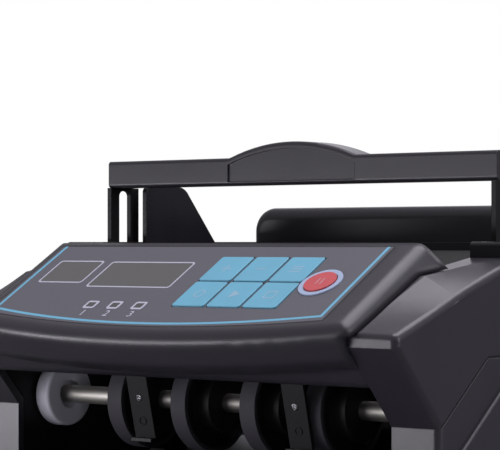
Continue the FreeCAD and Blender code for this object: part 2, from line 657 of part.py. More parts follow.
def make_keys():
    stem_low = "-key_depth - key_stem"
    switch_height = "board_top - key_depth - key_stem - key_travel - fit_gap"
    switches = []
    for number, label in enumerate(KEYS):
        x, y = key_corner(number)
        key = new_body(label)
        pad(key, rectangle(sketch_on(key, "XY_Plane", "-key_depth"), x, y, "key_width", "key_length"),
            "key_depth + key_proud")
        round_edges(key, "key_round", lambda edge: runs_along(edge, Vector(0, 0, 1)))
        round_edges(key, "key_proud / 2", lambda edge: near(edge.CenterOfMass.z, "key_proud"))
        middle = (x + " + key_width / 2", y + " + key_length / 2")
        pad(key, circle(sketch_on(key, "XY_Plane", "-key_depth"), *middle, "key_stem_radius"), "key_stem",
            backward=True)
        keep(label, on_panel(key))
        switches.append(middle)

    cap = rod("reset_cap", "reset_radius", "key_depth + key_proud * 2", ("reset_x", "-reset_s", "-key_depth"),
              Vector(0, 0, 1))
    stem = rod("reset_stem", "key_stem_radius", "key_stem", ("reset_x", "-reset_s", stem_low),
               Vector(0, 0, 1))
    keep("reset_key", on_panel(fuse("reset_key", cap, stem)))
    switches.append(("reset_x", "-reset_s"))

    solids = []
    for x, y in switches:
        solids.append(block("switch", (x + " - switch_side / 2", y + " - switch_side / 2", "-board_top"),
                            ("switch_side", "switch_side", switch_height)))
    for name in ("small", "large"):
        solids.append(block("module", (name + "_left", "-%s_back - %s_length" % (name, name), "-board_top"),
                            (name + "_width", name + "_length", "board_top - module_drop")))
    keep("board_parts", on_panel(group("board_parts", *solids)))


# Hopper


def make_deck():
    deck = new_body("deck")
    plate = rectangle(sketch_on(deck, "XY_Plane", "deck_low"), "-" + CASING_OUTER, "deck_front",
                      "2 * " + CASING_OUTER, COVER_OUTER + " - deck_front")
    pad(deck, plate, "deck_top - deck_low")
    round_edges(deck, "casing_round / 2", lambda edge: near(edge.CenterOfMass.z, "deck_top"))
    opening = sketch_on(deck, "XY_Plane", "deck_top")
    rectangle(opening, "-throat_half", "deck_front - wall", "2 * throat_half",
              "hopper_rear - deck_front + wall")
    for x in (BAR_HALF + " - arm_thick - seam_gap", "-%s - seam_gap" % BAR_HALF):
        rectangle(opening, x, "arm_front - seam_gap", "arm_thick + 2 * seam_gap", "arm_depth + 2 * seam_gap")
    pocket(deck, opening, "deck_top - deck_low")
    keep("top_deck", deck)

    floor = new_body("hopper_floor")
    half = "(throat_half - seam_gap)"
    pad(floor, rectangle(sketch_on(floor, "XY_Plane"), "-" + half, "0", "2 * " + half, "floor_length"),
        "floor_thick", backward=True)
    slots = sketch_on(floor, "XY_Plane")
    along = "((feed_y - floor_y) * cos(floor_slope) + (feed_z - floor_z) * sin(floor_slope))"
    below = "((feed_y - floor_y) * sin(floor_slope) - (feed_z - floor_z) * cos(floor_slope) - floor_thick)"
    reach = "(%s + sqrt(feed_radius * feed_radius - %s * %s) + wall)" % (along, below, below)
    for x in ("feed_x - slot_gap", "-feed_x - feed_width - slot_gap"):
        rectangle(slots, x, "-wall", "feed_width + 2 * slot_gap", reach + " + wall")
    tongue = "((guide_rod_y - floor_y) / cos(floor_slope))"
    margin = "(tongue_depth / 2 + slot_gap)"
    for x in (GUIDE_X + " - guide_travel - slot_gap", "-%s - guide_thick - slot_gap" % GUIDE_X):
        rectangle(slots, x, "%s - %s" % (tongue, margin), "guide_travel + guide_thick + 2 * slot_gap",
                  "2 * " + margin)
    pocket(floor, slots, "floor_thick")
    keep("hopper_floor", on_slope(floor, "floor_y", "floor_z", "floor_slope"))


def make_guides():
    keep("guide_rod", group("guide_rod", rod("guide_bar", "guide_rod_radius", "2 * throat_half",
                                             ("-throat_half", "guide_rod_y", "guide_rod_z"))))

    def floor_at(y):
        return "(floor_z + (%s - floor_y) * tan(floor_slope) + seam_gap)" % y

    fin = profile_piece("guide_fin", [
        ("guide_front", floor_at("guide_front")), ("guide_front", "guide_top"), ("guide_back", "guide_top"),
        ("guide_tail", "guide_tail_top"), ("guide_tail", floor_at("guide_tail")),
    ], GUIDE_X, "guide_thick")

    def top_corner(edge):
        return runs_along(edge, Vector(1, 0, 0)) and edge.CenterOfMass.z > value("guide_tail_top") - 0.01

    round_edges(fin, "guide_round", lambda edge: top_corner(edge)
                and near(edge.CenterOfMass.y, "guide_back"))
    round_edges(fin, "guide_round / 3", lambda edge: top_corner(edge)
                and near(edge.CenterOfMass.y, "guide_front"))
    tongue = block("guide_tongue", (GUIDE_X, "guide_rod_y - tongue_depth / 2", "guide_rod_z"),
                   ("guide_thick", "tongue_depth", floor_at("guide_rod_y") + " - guide_rod_z + tongue_depth"))
    corner = (GUIDE_X + " + guide_thick - carriage_width", "guide_rod_y - carriage_side / 2",
              "guide_rod_z - carriage_side / 2")
    carriage = block("carriage", corner, ("carriage_width", "carriage_side", "carriage_side"))
    bore = rod("carriage_bore", "guide_rod_radius + run_gap", "carriage_width + 2 * wall",
               (GUIDE_X + " + guide_thick - carriage_width - wall", "guide_rod_y", "guide_rod_z"))
    guide = cut("note_guide_right", fuse("guide_blank", fin, tongue, carriage), bore)
    keep("note_guide_right", guide)
    mirrored("note_guide_left", guide)

    rest = new_body("rest_block")
    front = rectangle(sketch_on(rest, "XZ_Plane", "-rest_rear"), "-rest_half", "deck_top", "2 * rest_half",
                      "rest_top - deck_top")
    pad(rest, front, "rest_rear - rest_front")
    round_edges(rest, "rest_corner", lambda edge: runs_along(edge, Vector(0, 1, 0))
                and near(edge.CenterOfMass.z, "rest_top"))
    round_edges(rest, "rest_round", lambda edge: near(edge.CenterOfMass.y, "rest_front")
                and edge.CenterOfMass.z > value("deck_top") + 0.01)
    room = rectangle(sketch_on(rest, "XY_Plane", "deck_top"), "-rest_half + wall", "rest_front + wall",
                     "2 * rest_half - 2 * wall", "rest_rear - rest_front - 2 * wall")
    pocket(rest, room, "rest_top - deck_top - rest_corner", forward=True)
    keep("rear_rest", rest)


# Handle


def arch(sketch, corners, top):
    """A bow over straight lines: corners from its left foot round below to its right foot, and its top."""
    half, foot = corners[-1]
    rise = "(%s - %s)" % (top, foot)
    centre = "(%s - (%s * %s + %s * %s) / (2 * %s))" % (top, half, half, rise, rise, rise)
    spots = [Vector(value(x), value(y), 0) for x, y in corners]
    bow = len(corners) - 1
    for number in range(bow):
        sketch.addGeometry(Part.LineSegment(spots[number], spots[number + 1]), False)
    sketch.addGeometry(Part.Arc(spots[-1], Vector(0, value(top), 0), spots[0]), False)
    for number in range(bow):
        sketch.addConstraint(Sketcher.Constraint("Coincident", number, 2, number + 1, 1))
        tie_point(sketch, number, 1, *corners[number])
    sketch.addConstraint(Sketcher.Constraint("Coincident", 0, 1, bow, 2))
    tie_point(sketch, bow, 1, half, foot)
    height = sketch.addConstraint(Sketcher.Constraint("DistanceY", -1, 1, bow, 3, value(centre)))
    sketch.setExpression("Constraints[%d]" % height, bind(centre))
    return sketch


def make_handle():
    bar = new_body("handle_bar")
    rear = "-bar_front - bar_depth"
    straight = rectangle(sketch_on(bar, "XZ_Plane", rear), "-" + BAR_HALF, "bar_low", "2 * " + BAR_HALF,
                         "bar_top - bar_low")
    pad(bar, straight, "bar_depth")
    feet = [("-hump_half", "bar_top"), ("hump_half", "bar_top")]
    pad(bar, arch(sketch_on(bar, "XZ_Plane", rear), feet, "hump_top"), "bar_depth")
    round_edges(bar, "hump_inset", lambda edge: runs_along(edge, Vector(0, 1, 0))
                and near(abs(edge.CenterOfMass.x), "hump_half"))

    def face_edge(edge):
        middle = value("bar_front + bar_depth / 2")
        on_face = abs(abs(edge.CenterOfMass.y - middle) - value("bar_depth / 2")) < 0.01
        return on_face and not runs_along(edge, Vector(0, 0, 1))

    round_edges(bar, "bar_round", face_edge)
    foot = "(bar_top - hump_inset)"
    low = "(bar_low + bar_round)"
    panel = [("-hump_half", foot), ("-hump_half", low), ("hump_half", low), ("hump_half", foot)]
    recess = arch(sketch_on(bar, "XZ_Plane", "-bar_front"), panel, "(hump_top - hump_inset)")
    pocket(bar, recess, "hump_recess")
    keep("handle_bar", bar)

    arms = []
    for start in (BAR_HALF + " - arm_thick", "-" + BAR_HALF):
        arm = new_body("handle_arm")
        plate = rectangle(sketch_on(arm, "YZ_Plane", start), "arm_front", "arm_low", "arm_depth",
                          "bar_low - arm_low")
        pad(arm, plate, "arm_thick")
        slot = rectangle(sketch_on(arm, "YZ_Plane", start), "arm_front + (arm_depth - slot_width) / 2",
                         "slot_low", "slot_width", "slot_top - slot_low")
        pocket(arm, slot, "arm_thick", forward=True)
        round_edges(arm, "slot_width / 3", lambda edge: runs_along(edge, Vector(1, 0, 0))
                    and not near(edge.CenterOfMass.z, "bar_low"))
        arms.append(arm)
    keep("handle_arms", group("handle_arms", *arms))


# Shafts, wheels and drive


def turned(name, outline, x, y, z):
    """A body turned about X from an outline of (along, radius) pairs, set on a shaft."""
    body = new_body(name)
    sketch = polygon(sketch_on(body, "XY_Plane"), outline)
    turn = body.newObject("PartDesign::Revolution", name + "_turn")
    turn.Profile = sketch
    turn.ReferenceAxis = ([item for item in body.Origin.OriginFeatures if item.Role == "X_Axis"][0], [""])
    turn.Angle = 360
    body.Tip = turn
    return place(body, x, y, z)


def repeat_round(body, feature, axis, count):
    """Repeat a feature evenly round one of the body's own axes."""
    doc.recompute()
    pattern = body.newObject("PartDesign::PolarPattern", body.Name + "_pattern")
    pattern.Originals = [feature]
    pattern.Axis = ([item for item in body.Origin.OriginFeatures if item.Role == axis][0], [""])
    pattern.Angle = 360
    pattern.setExpression("Occurrences", bind(count))
    body.Tip = pattern


def make_transport():
    at_shaft = ("transport_y", "transport_z")
    length = "2 * throat_half + shaft_end"
    shaft = rod("transport_bar", "shaft_radius", length, ("-throat_half - frame_thick",) + at_shaft)
    pulleys = [pulley("transport", start, at_shaft) for start in (PLANE_INNER, PLANE_OUTER)]
    keep("transport_shaft", group("transport_shaft", shaft, *pulleys))

    rim = "(wheel_radius - tyre_thick)"
    inner_rim = "(%s - tyre_thick)" % rim
    outline = [
        ("0", "shaft_radius"), ("hub_length", "shaft_radius"), ("hub_length", "hub_radius"),
        ("wheel_width - web_inset", "hub_radius"), ("wheel_width - web_inset", inner_rim),
        ("wheel_width", inner_rim), ("wheel_width", rim), ("0", rim), ("0", inner_rim),
        ("web_inset", inner_rim), ("web_inset", "hub_radius"), ("0", "hub_radius"),
    ]
    wheels = []
    tyres = []
    for number in range(1, WHEEL_COUNT + 1):
        face = "wheel_%d" % number
        wheels.append(turned("transport_wheel", outline, face, *at_shaft))
        tyres.append(ring("tyre", "wheel_radius", rim, "wheel_width", (face,) + at_shaft))
    keep("transport_wheels", group("transport_wheels", *wheels))
    keep("wheel_tyres", group("wheel_tyres", *tyres))

    roller = turned("end_roller", [
        ("0", "shaft_radius"), ("roller_width - roller_recess_depth", "shaft_radius"),
        ("roller_width - roller_recess_depth", "roller_recess"), ("roller_width", "roller_recess"),
        ("roller_width", "roller_radius"), ("0", "roller_radius"),
    ], "-throat_half + roller_end_gap", *at_shaft)
    round_edges(roller, "tyre_thick", lambda edge: near(edge.BoundBox.YMax, "roller_radius")
                and edge.BoundBox.XLength < 0.01)
    keep("end_roller", roller)


def pulley(name, start, at):
    """A belt pulley on a shaft's right-hand end."""
    return ring(name + "_pulley_wheel", name + "_pulley - fit_gap", "shaft_radius", "pulley_width",
                (start,) + at)


def make_feed():
    at_shaft = ("feed_y", "feed_z")
    shaft = rod("feed_bar", "shaft_radius", "2 * throat_half + shaft_end",
                ("-throat_half - frame_thick",) + at_shaft)
    pulleys = [pulley("feed", start, at_shaft) for start in (PLANE_INNER, PLANE_OUTER)]
    keep("feed_shaft", group("feed_shaft", shaft, *pulleys))
    cores = []
    tyres = []
    for x in ("feed_x", "-feed_x - feed_width"):
        at = (x,) + at_shaft
        cores.append(ring("feed_core", "feed_radius - feed_tyre", "shaft_radius", "feed_width", at))
        tyres.append(ring("feed_sleeve", "feed_radius", "feed_radius - feed_tyre", "feed_width", at))
    keep("feed_cores", group("feed_cores", *cores))
    keep("feed_tyres", group("feed_tyres", *tyres))


def make_stacker():
    at_shaft = ("stacker_y", "stacker_z")
    shaft = rod("stacker_bar", "shaft_radius", "2 * throat_half + shaft_end",
                ("-throat_half - frame_thick",) + at_shaft)
    keep("stacker_shaft", group("stacker_shaft", shaft, pulley("stacker", PLANE_OUTER, at_shaft)))

    wheels = []
    for number in ("1", "2"):
        wheel = new_body("stacker_wheel")
        hub = circle(circle(sketch_on(wheel, "YZ_Plane"), "0", "0", "stacker_hub"), "0", "0", "shaft_radius")
        pad(wheel, hub, "stacker_width")
        finger = sketch_on(wheel, "YZ_Plane")
        root = "(stacker_hub - finger_thick)"
        reach = "sqrt(stacker_radius * stacker_radius - finger_thick * finger_thick)"
        tip_y = "(%s * sin(finger_lean))" % reach
        tip_z = "(%s * cos(finger_lean))" % reach
        polygon(finger, [("0", root), ("finger_thick", root), (tip_y + " + finger_thick / 2", tip_z),
                         (tip_y + " - finger_thick / 2", tip_z)])
        repeat_round(wheel, pad(wheel, finger, "stacker_width"), "X_Axis", "finger_count")
        wheels.append(place(wheel, "stacker_" + number, *at_shaft))
    keep("stacker_wheels", group("stacker_wheels", *wheels))

    half = "(throat_half - seam_gap)"
    tray = profile_piece("stacker_tray", [
        ("casing_front + pan_thick", "tray_front_z - tray_thick"),
        ("tray_rear_y", "tray_rear_z - tray_thick"),
        ("tray_rear_y", "tray_rear_z"), ("casing_front + pan_thick", "tray_front_z"),
        ("casing_front - tray_thick", "tray_front_z + tray_thick"),
        ("casing_front - tray_overhang", "tray_front_z"),
        ("casing_front - tray_overhang", "tray_front_z - tray_thick"),
        ("casing_front - seam_gap", "tray_front_z - tray_thick"),
    ], "-" + half, "2 * " + half)
    keep("stacker_tray", tray)

    back = new_body("stacker_back")
    plate = rectangle(sketch_on(back, "XZ_Plane", "-back_y - back_thick"), "-" + half, PAN_TOP, "2 * " + half,
                      "back_top - " + PAN_TOP)
    pad(back, plate, "back_thick")
    windows = sketch_on(back, "XZ_Plane", "-back_y")
    for number in ("1", "2"):
        rectangle(windows, "stacker_%s + (stacker_width - back_window) / 2" % number,
                  "stacker_z - stacker_radius", "back_window", "back_top")
    pocket(back, windows, "back_thick")
    keep("stacker_back", back)


def make_strips():
    """Two note strips that hang from the head's bottom plate in front of the transport wheels."""
    foot_y = "(strip_low_y - strip_foot)"
    plate = "(panel_z + (strip_top_y - panel_y) * tan(panel_slope) - head_thick / cos(panel_slope))"
    tab_rise = "(strip_tab * sin(panel_slope))"
    tab_run = "(strip_tab * cos(panel_slope))"
    sheet_thick = "(strip_thick / cos(panel_slope))"
    points = [
        ("strip_top_y", plate), ("strip_top_y", plate + " - wall"), (foot_y + " + strip_foot", "strip_low"),
        (foot_y, "strip_low"), (foot_y, "strip_low - strip_thick"),
        ("strip_low_y + strip_thick", "strip_low - strip_thick"),
        ("strip_top_y + strip_thick", "%s - wall" % plate),
        ("strip_top_y + strip_thick", "%s + strip_thick * tan(panel_slope) - %s" % (plate, sheet_thick)),
        ("strip_top_y + " + tab_run, "%s + %s - %s" % (plate, tab_rise, sheet_thick)),
        ("strip_top_y + " + tab_run, "%s + %s" % (plate, tab_rise)),
    ]
    strips = []
    for number in ("1", "2"):
        left = "(strip_%s - strip_width / 2)" % number
        strips.append(profile_piece("note_strip", points, left, "strip_width"))
    keep("note_strips", group("note_strips", *strips))


def belt(name, start, first, second):
    """A flat belt round two pulleys, from the places and radii of the pulleys."""
    y1, z1, r1 = [value(text) for text in first]
    y2, z2, r2 = [value(text) for text in second]
    thick = value("belt_thick")
    bearing = math.atan2(z2 - z1, y2 - y1)
    spread = math.acos((r1 - r2) / math.hypot(y2 - y1, z2 - z1))
    x = value(start)

    def loop(extra):
        def on(y, z, radius, angle):
            return Vector(x, y + (radius + extra) * math.cos(angle), z + (radius + extra) * math.sin(angle))

        upper = bearing + spread
        lower = bearing - spread
        far = bearing + math.pi
        edges = [
            Part.LineSegment(on(y1, z1, r1, upper), on(y2, z2, r2, upper)).toShape(),
            Part.Arc(on(y2, z2, r2, upper), on(y2, z2, r2, bearing), on(y2, z2, r2, lower)).toShape(),
            Part.LineSegment(on(y2, z2, r2, lower), on(y1, z1, r1, lower)).toShape(),
            Part.Arc(on(y1, z1, r1, lower), on(y1, z1, r1, far), on(y1, z1, r1, upper)).toShape(),
        ]
        return Part.Face(Part.Wire(edges))

    item = doc.addObject("Part::Feature", name)
    item.Shape = loop(thick).cut(loop(0)).extrude(Vector(value("pulley_width"), 0, 0))
    return item


def make_drive():
    transport = ("transport_y", "transport_z", "transport_pulley")
    feed = ("feed_y", "feed_z", "feed_pulley")
    stacker = ("stacker_y", "stacker_z", "stacker_pulley")
    motor = ("motor_y", "motor_z", "motor_pulley")
    keep("drive_belts", group("drive_belts", belt("feed_belt", PLANE_INNER, transport, feed),
                              belt("motor_belt", PLANE_OUTER, feed, motor),
                              belt("stacker_belt", PLANE_OUTER, transport, stacker)))

    bushes = []
    for y, z in (transport[:2], feed[:2], stacker[:2]):
        for x in ("throat_half", "-throat_half - bush_length"):
            bushes.append(ring("bush", "bush_radius", "shaft_radius + run_gap", "bush_length", (x, y, z)))
    keep("bushes", group("bushes", *bushes))

    can = rod("motor_can", "motor_radius", "motor_length",
              ("throat_half - motor_length", "motor_y", "motor_z"))
    bore = rod("motor_bore", "motor_shaft + run_gap", "motor_bore_depth + wall",
               ("throat_half - motor_bore_depth", "motor_y", "motor_z"))
    keep("motor", cut("motor", can, bore))
    spindle = rod("motor_spindle", "motor_shaft", "shaft_end + motor_bore_depth - wall",
                  ("throat_half - motor_bore_depth + wall", "motor_y", "motor_z"))
    wheel = ring("motor_pulley_wheel", "motor_pulley - fit_gap", "motor_shaft", "pulley_width",
                 (PLANE_OUTER, "motor_y", "motor_z"))
    keep("motor_shaft", group("motor_shaft", spindle, wheel))


# Electrical pieces


def make_electrics():
    core = block("core", ("core_left", "core_front", PAN_TOP), ("core_length", "core_depth", "core_height"))
    window = "((core_length - 4 * core_limb) / 2)"
    height = "core_height - 2 * core_limb"
    windows = []
    for x in ("core_left + core_limb", "core_left + core_length - core_limb - " + window):
        windows.append(block("core_window", (x, "core_front - wall", PAN_TOP + " + core_limb"),
                             (window, "core_depth + 2 * wall", height)))
    keep("transformer_core", cut("transformer_core", core, *windows))
    bobbin = block("bobbin", ("core_left + core_limb + fit_gap", "core_front - coil_proud",
                              PAN_TOP + " + core_limb + fit_gap"),
                   ("core_length - 2 * core_limb - 2 * fit_gap", "core_depth + 2 * coil_proud",
                    height + " - 2 * fit_gap"))
    limb = block("bobbin_limb", ("core_left + core_limb + " + window + " - fit_gap", "core_front - fit_gap",
                                 PAN_TOP + " + core_limb - wall"),
                 ("2 * core_limb + 2 * fit_gap", "core_depth + 2 * fit_gap", height + " + 2 * wall"))
    keep("transformer_coil", cut("transformer_coil", bobbin, limb))

    board = block("main_plate", ("main_left", "main_front", PAN_TOP + " + standoff"),
                  ("main_width", "main_depth", "board_thick"))
    keep("main_board", group("main_board", board))


def make_fasteners():
    """The main board's standoffs and the slotted screws of the rear cover."""
    solids = []
    for x in ("main_left + post_inset", "main_left + main_width - post_inset"):
        for y in ("main_front + post_inset", "main_front + main_depth - post_inset"):
            solids.append(rod("standoff_leg", "standoff_radius", "standoff", (x, y, PAN_TOP),
                              Vector(0, 0, 1)))
    for x in ("-screw_x", "screw_x"):
        for z in ("screw_low", "screw_high"):
            screw = rod("screw", "screw_radius", "screw_head", (x, COVER_OUTER, z), Vector(0, 1, 0))
            slot = block("screw_slot", (x + " - screw_radius", COVER_OUTER + " + screw_head / 2",
                                        z + " - screw_slot / 2"),
                         ("2 * screw_radius", "screw_head", "screw_slot"))
            solids.append(cut("screw_slotted", screw, slot))
    keep("fasteners", group("fasteners", *solids))


# Back cover and its fittings


def make_back():
    back = Vector(0, 1, 0)
    cover = new_body("rear_cover")
    sheet_out = rectangle(sketch_on(cover, "XZ_Plane", "-" + COVER_OUTER), "-" + CASING_OUTER, PAN_TOP,
                          "2 * " + CASING_OUTER, "deck_low - " + PAN_TOP)
    pad(cover, sheet_out, "cover_thick")
    round_edges(cover, "cover_round", lambda edge: runs_along(edge, Vector(0, 0, 1))
                and near(edge.CenterOfMass.y, COVER_OUTER))
    holes = sketch_on(cover, "XZ_Plane", "-" + COVER_OUTER)
    rectangle(holes, "inlet_x - inlet_width / 2 - fit_gap", "fitting_z - inlet_height / 2 - fit_gap",
              "inlet_width + 2 * fit_gap", "inlet_height + 2 * fit_gap")
    rectangle(holes, "rocker_x - rocker_width / 2 - rocker_wall - fit_gap",
              "fitting_z - rocker_height / 2 - rocker_wall - fit_gap",
              "rocker_width + 2 * rocker_wall + 2 * fit_gap", "rocker_height + 2 * rocker_wall + 2 * fit_gap")
    circle(holes, "fuse_x", "fitting_z", "fuse_body_radius + fit_gap")
    circle(holes, "knob_x", "knob_z", "knob_shaft + run_gap")
    pocket(cover, holes, "cover_thick", forward=True)
    keep("rear_cover", cover)

    corner = ("inlet_x - flange_width / 2", COVER_OUTER, "fitting_z - flange_height / 2")
    flange = block("inlet_flange", corner, ("flange_width", "flange_thick", "flange_height"))
    shell = block("inlet_shell", ("inlet_x - inlet_width / 2", COVER_OUTER + " - inlet_depth",
                                  "fitting_z - inlet_height / 2"),
                  ("inlet_width", "inlet_depth", "inlet_height"))
    socket_back = COVER_OUTER + " + flange_thick - socket_depth"
    corner = ("inlet_x - socket_width / 2", socket_back, "fitting_z - socket_height / 2")
    socket = block("inlet_socket", corner, ("socket_width", "socket_depth", "socket_height"))
    keep("power_inlet", cut("power_inlet", fuse("inlet_blank", flange, shell), socket))
    blades = []
    for x, z in (("-blade_pitch", "-blade_rise"), ("blade_pitch", "-blade_rise"), ("0", "blade_rise")):
        blades.append(block("inlet_blade", ("inlet_x + %s - blade_thick / 2" % x, socket_back,
                                            "fitting_z + %s - blade_width / 2" % z),
                            ("blade_thick", "socket_depth - wall", "blade_width")))
    keep("inlet_pins", group("inlet_pins", *blades))

    holder = rod("fuse_body", "fuse_body_radius", "fuse_body",
                 ("fuse_x", COVER_OUTER + " - fuse_body", "fitting_z"), back)
    cap = rod("fuse_cap", "fuse_radius", "fuse_cap", ("fuse_x", COVER_OUTER, "fitting_z"), back)
    keep("fuse_holder", fuse("fuse_holder", holder, cap))

    well = ("rocker_width + 2 * rocker_wall", "rocker_depth + rocker_wall", "rocker_height + 2 * rocker_wall")
    corner = ("rocker_x - rocker_width / 2 - rocker_wall", COVER_OUTER + " - rocker_depth",
              "fitting_z - rocker_height / 2 - rocker_wall")
    frame = block("rocker_frame", corner, well)
    lip = block("rocker_lip", ("rocker_x - rocker_width / 2 - 2 * rocker_wall", COVER_OUTER,
                               "fitting_z - rocker_height / 2 - 2 * rocker_wall"),
                ("rocker_width + 4 * rocker_wall", "rocker_wall", "rocker_height + 4 * rocker_wall"))
    room = block("rocker_room", ("rocker_x - rocker_width / 2", COVER_OUTER + " - rocker_depth + rocker_wall",
                                 "fitting_z - rocker_height / 2"),
                 ("rocker_width", "rocker_depth + rocker_wall", "rocker_height"))
    keep("rocker_housing", cut("rocker_housing", fuse("rocker_blank", frame, lip), room))

    rocker_end = "(rocker_height / 2 - rocker_gap)"
    rocker_tip = COVER_OUTER + " + rocker_wall + rocker_proud"
    rocker_foot = COVER_OUTER + " - rocker_depth + rocker_wall + rocker_rise"
    rocker = profile_piece("power_rocker", [
        (rocker_foot, "fitting_z - rocker_height / 4"),
        (rocker_foot, "fitting_z + rocker_height / 4"),
        (COVER_OUTER + " - rocker_gap", "fitting_z + " + rocker_end),
        (rocker_tip, "fitting_z + " + rocker_end),
        (rocker_tip + " - rocker_dish", "fitting_z"),
        (rocker_tip, "fitting_z - " + rocker_end),
        (COVER_OUTER + " - rocker_gap", "fitting_z - " + rocker_end),
    ], "rocker_x - rocker_width / 2 + fit_gap", "rocker_width - 2 * fit_gap")
    keep("power_rocker", rocker)

    knob = new_body("gap_knob")
    pad(knob, circle(sketch_on(knob, "XZ_Plane"), "0", "0", "knob_radius"), "knob_thick")
    flute = circle(sketch_on(knob, "XZ_Plane"), "0", "knob_radius", "knob_flute_radius")
    repeat_round(knob, pocket(knob, flute, "knob_thick", forward=True), "Y_Axis", "knob_flutes")
    pad(knob, circle(sketch_on(knob, "XZ_Plane", "knob_thick"), "0", "0", "knob_shaft"), "knob_shaft_length")
    keep("gap_knob", place(knob, "knob_x", COVER_OUTER + " + fit_gap + knob_thick", "knob_z"))


def check_and_write():
    """Stop on any failed feature or broken solid, then write every piece."""
    doc.recompute()
    for item in doc.Objects:
        if "Invalid" in item.State or "Error" in item.State:
            raise RuntimeError("%s failed: %s" % (item.Name, item.State))
    for label, item in pieces.items():
        if item.Shape.isNull() or not item.Shape.isValid():
            raise RuntimeError("%s has no valid shape" % label)
    os.makedirs("parts", exist_ok=True)
    for label, item in pieces.items():
        item.Shape.exportStep("parts/%s.step" % label)
        box = item.Shape.BoundBox
        print("%-20s %2d solids %9.1f mm3  x %7.1f %7.1f  y %7.1f %7.1f  z %6.1f %6.1f" % (
            label, len(item.Shape.Solids), item.Shape.Volume, box.XMin, box.XMax, box.YMin, box.YMax,
            box.ZMin, box.ZMax))


make_base()
make_side_frame()
make_casings()
make_head()
make_panel()
make_keys()
make_deck()
make_guides()
make_handle()
make_transport()
make_feed()
make_stacker()
make_strips()
make_drive()
make_electrics()
make_fasteners()
make_back()
check_and_write()
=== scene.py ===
"""Banknote counting machine: its finishes, panel print, small fasteners and studio, as an add-on."""
import json
import math

import bmesh
import bpy
from bpy.props import FloatProperty, FloatVectorProperty, PointerProperty
from mathutils import Matrix, Vector


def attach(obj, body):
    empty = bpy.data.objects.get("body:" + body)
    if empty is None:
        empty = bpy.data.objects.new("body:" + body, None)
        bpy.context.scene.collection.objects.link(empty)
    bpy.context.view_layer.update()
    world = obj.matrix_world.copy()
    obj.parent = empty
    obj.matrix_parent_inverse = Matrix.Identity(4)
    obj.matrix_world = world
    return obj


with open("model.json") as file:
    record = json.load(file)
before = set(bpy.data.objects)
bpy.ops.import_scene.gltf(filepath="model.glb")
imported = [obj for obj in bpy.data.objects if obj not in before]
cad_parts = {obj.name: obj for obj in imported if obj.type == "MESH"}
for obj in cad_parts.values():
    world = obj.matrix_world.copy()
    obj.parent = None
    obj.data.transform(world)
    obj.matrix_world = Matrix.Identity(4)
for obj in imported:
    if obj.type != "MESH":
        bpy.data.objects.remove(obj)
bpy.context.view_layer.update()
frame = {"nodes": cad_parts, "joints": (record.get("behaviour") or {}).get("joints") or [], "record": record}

bl_info = {
    "name": "Banknote counter looks",
    "version": (1, 0, 0),
    "blender": (4, 5, 0),
    "location": "3D View > Sidebar > Counter",
    "description": "Gives a banknote counting machine its finishes, its panel print and its studio",
    "category": "Object",
}

# How finely curves are divided
ARC_STEPS = 48
CORNER_STEPS = 6
ROUND_STEPS = 40
SCREW_STEPS = 32
DOME_RINGS = 6
EYE_STEPS = 8
FLOOR_STEPS = 96

# Points closer than this are one point, in metres
WELD = 1e-6

# Where the search for a strip's face starts, in front of the machine, in metres
RAY_START = -0.3

# Nearest distance that the camera shows, in metres
CLIP_START = 0.01

# A font's size over the height of its digits
FONT_OVER_DIGIT = 1.4

# A bar's corner over its lesser width, and the pause sign's height over its width
BAR_CORNER = 0.3
PAUSE_HEIGHT = 0.8

# A cross recess's reach over its screw's radius, and its depth over the screw's rise
RECESS_REACH = 0.7
RECESS_DEPTH = 0.6

# A direction-free stretch for a pattern
EVEN = (1.0, 1.0, 1.0)

# The Mix node's sockets when it mixes colours
MIX_SHARE = 0
MIX_FIRST = 6
MIX_SECOND = 7
MIX_RESULT = 2

# Each soft box: where it stands, what it faces, and its width and height, in metres
MACHINE_MIDDLE = (0.0, -0.05, 0.11)
MACHINE_FOOT = (0.0, -0.05, 0.05)
SOFT_BOXES = {
    "top_box": ((0.15, 0.15, 1.15), MACHINE_MIDDLE, 0.95, 0.95),
    "back_box": ((0.0, 1.05, 0.95), MACHINE_MIDDLE, 0.9, 0.25),
    "low_box": ((-0.48, -0.64, 0.05), MACHINE_FOOT, 0.7, 0.08),
    "right_box": ((1.3, 0.25, 0.55), MACHINE_MIDDLE, 0.5, 0.9),
    "left_box": ((-0.75, 0.85, 0.55), MACHINE_MIDDLE, 0.5, 0.25),
}


def length(name, description, default):
    """A size in metres that a user may change."""
    return FloatProperty(name=name, description=description, default=default, unit="LENGTH", precision=5)


def colour(name, description, default):
    """A colour that a user may change, given as the screen shows it."""
    return FloatVectorProperty(name=name, description=description, default=default, subtype="COLOR_GAMMA",
                               min=0.0, max=1.0)


def amount(name, description, default):
    """A plain number that a user may change."""
    return FloatProperty(name=name, description=description, default=default)


def power(name, description, default):
    """A lamp's power in watts that a user may change."""
    return FloatProperty(name=name, description=description, default=default, unit="POWER")


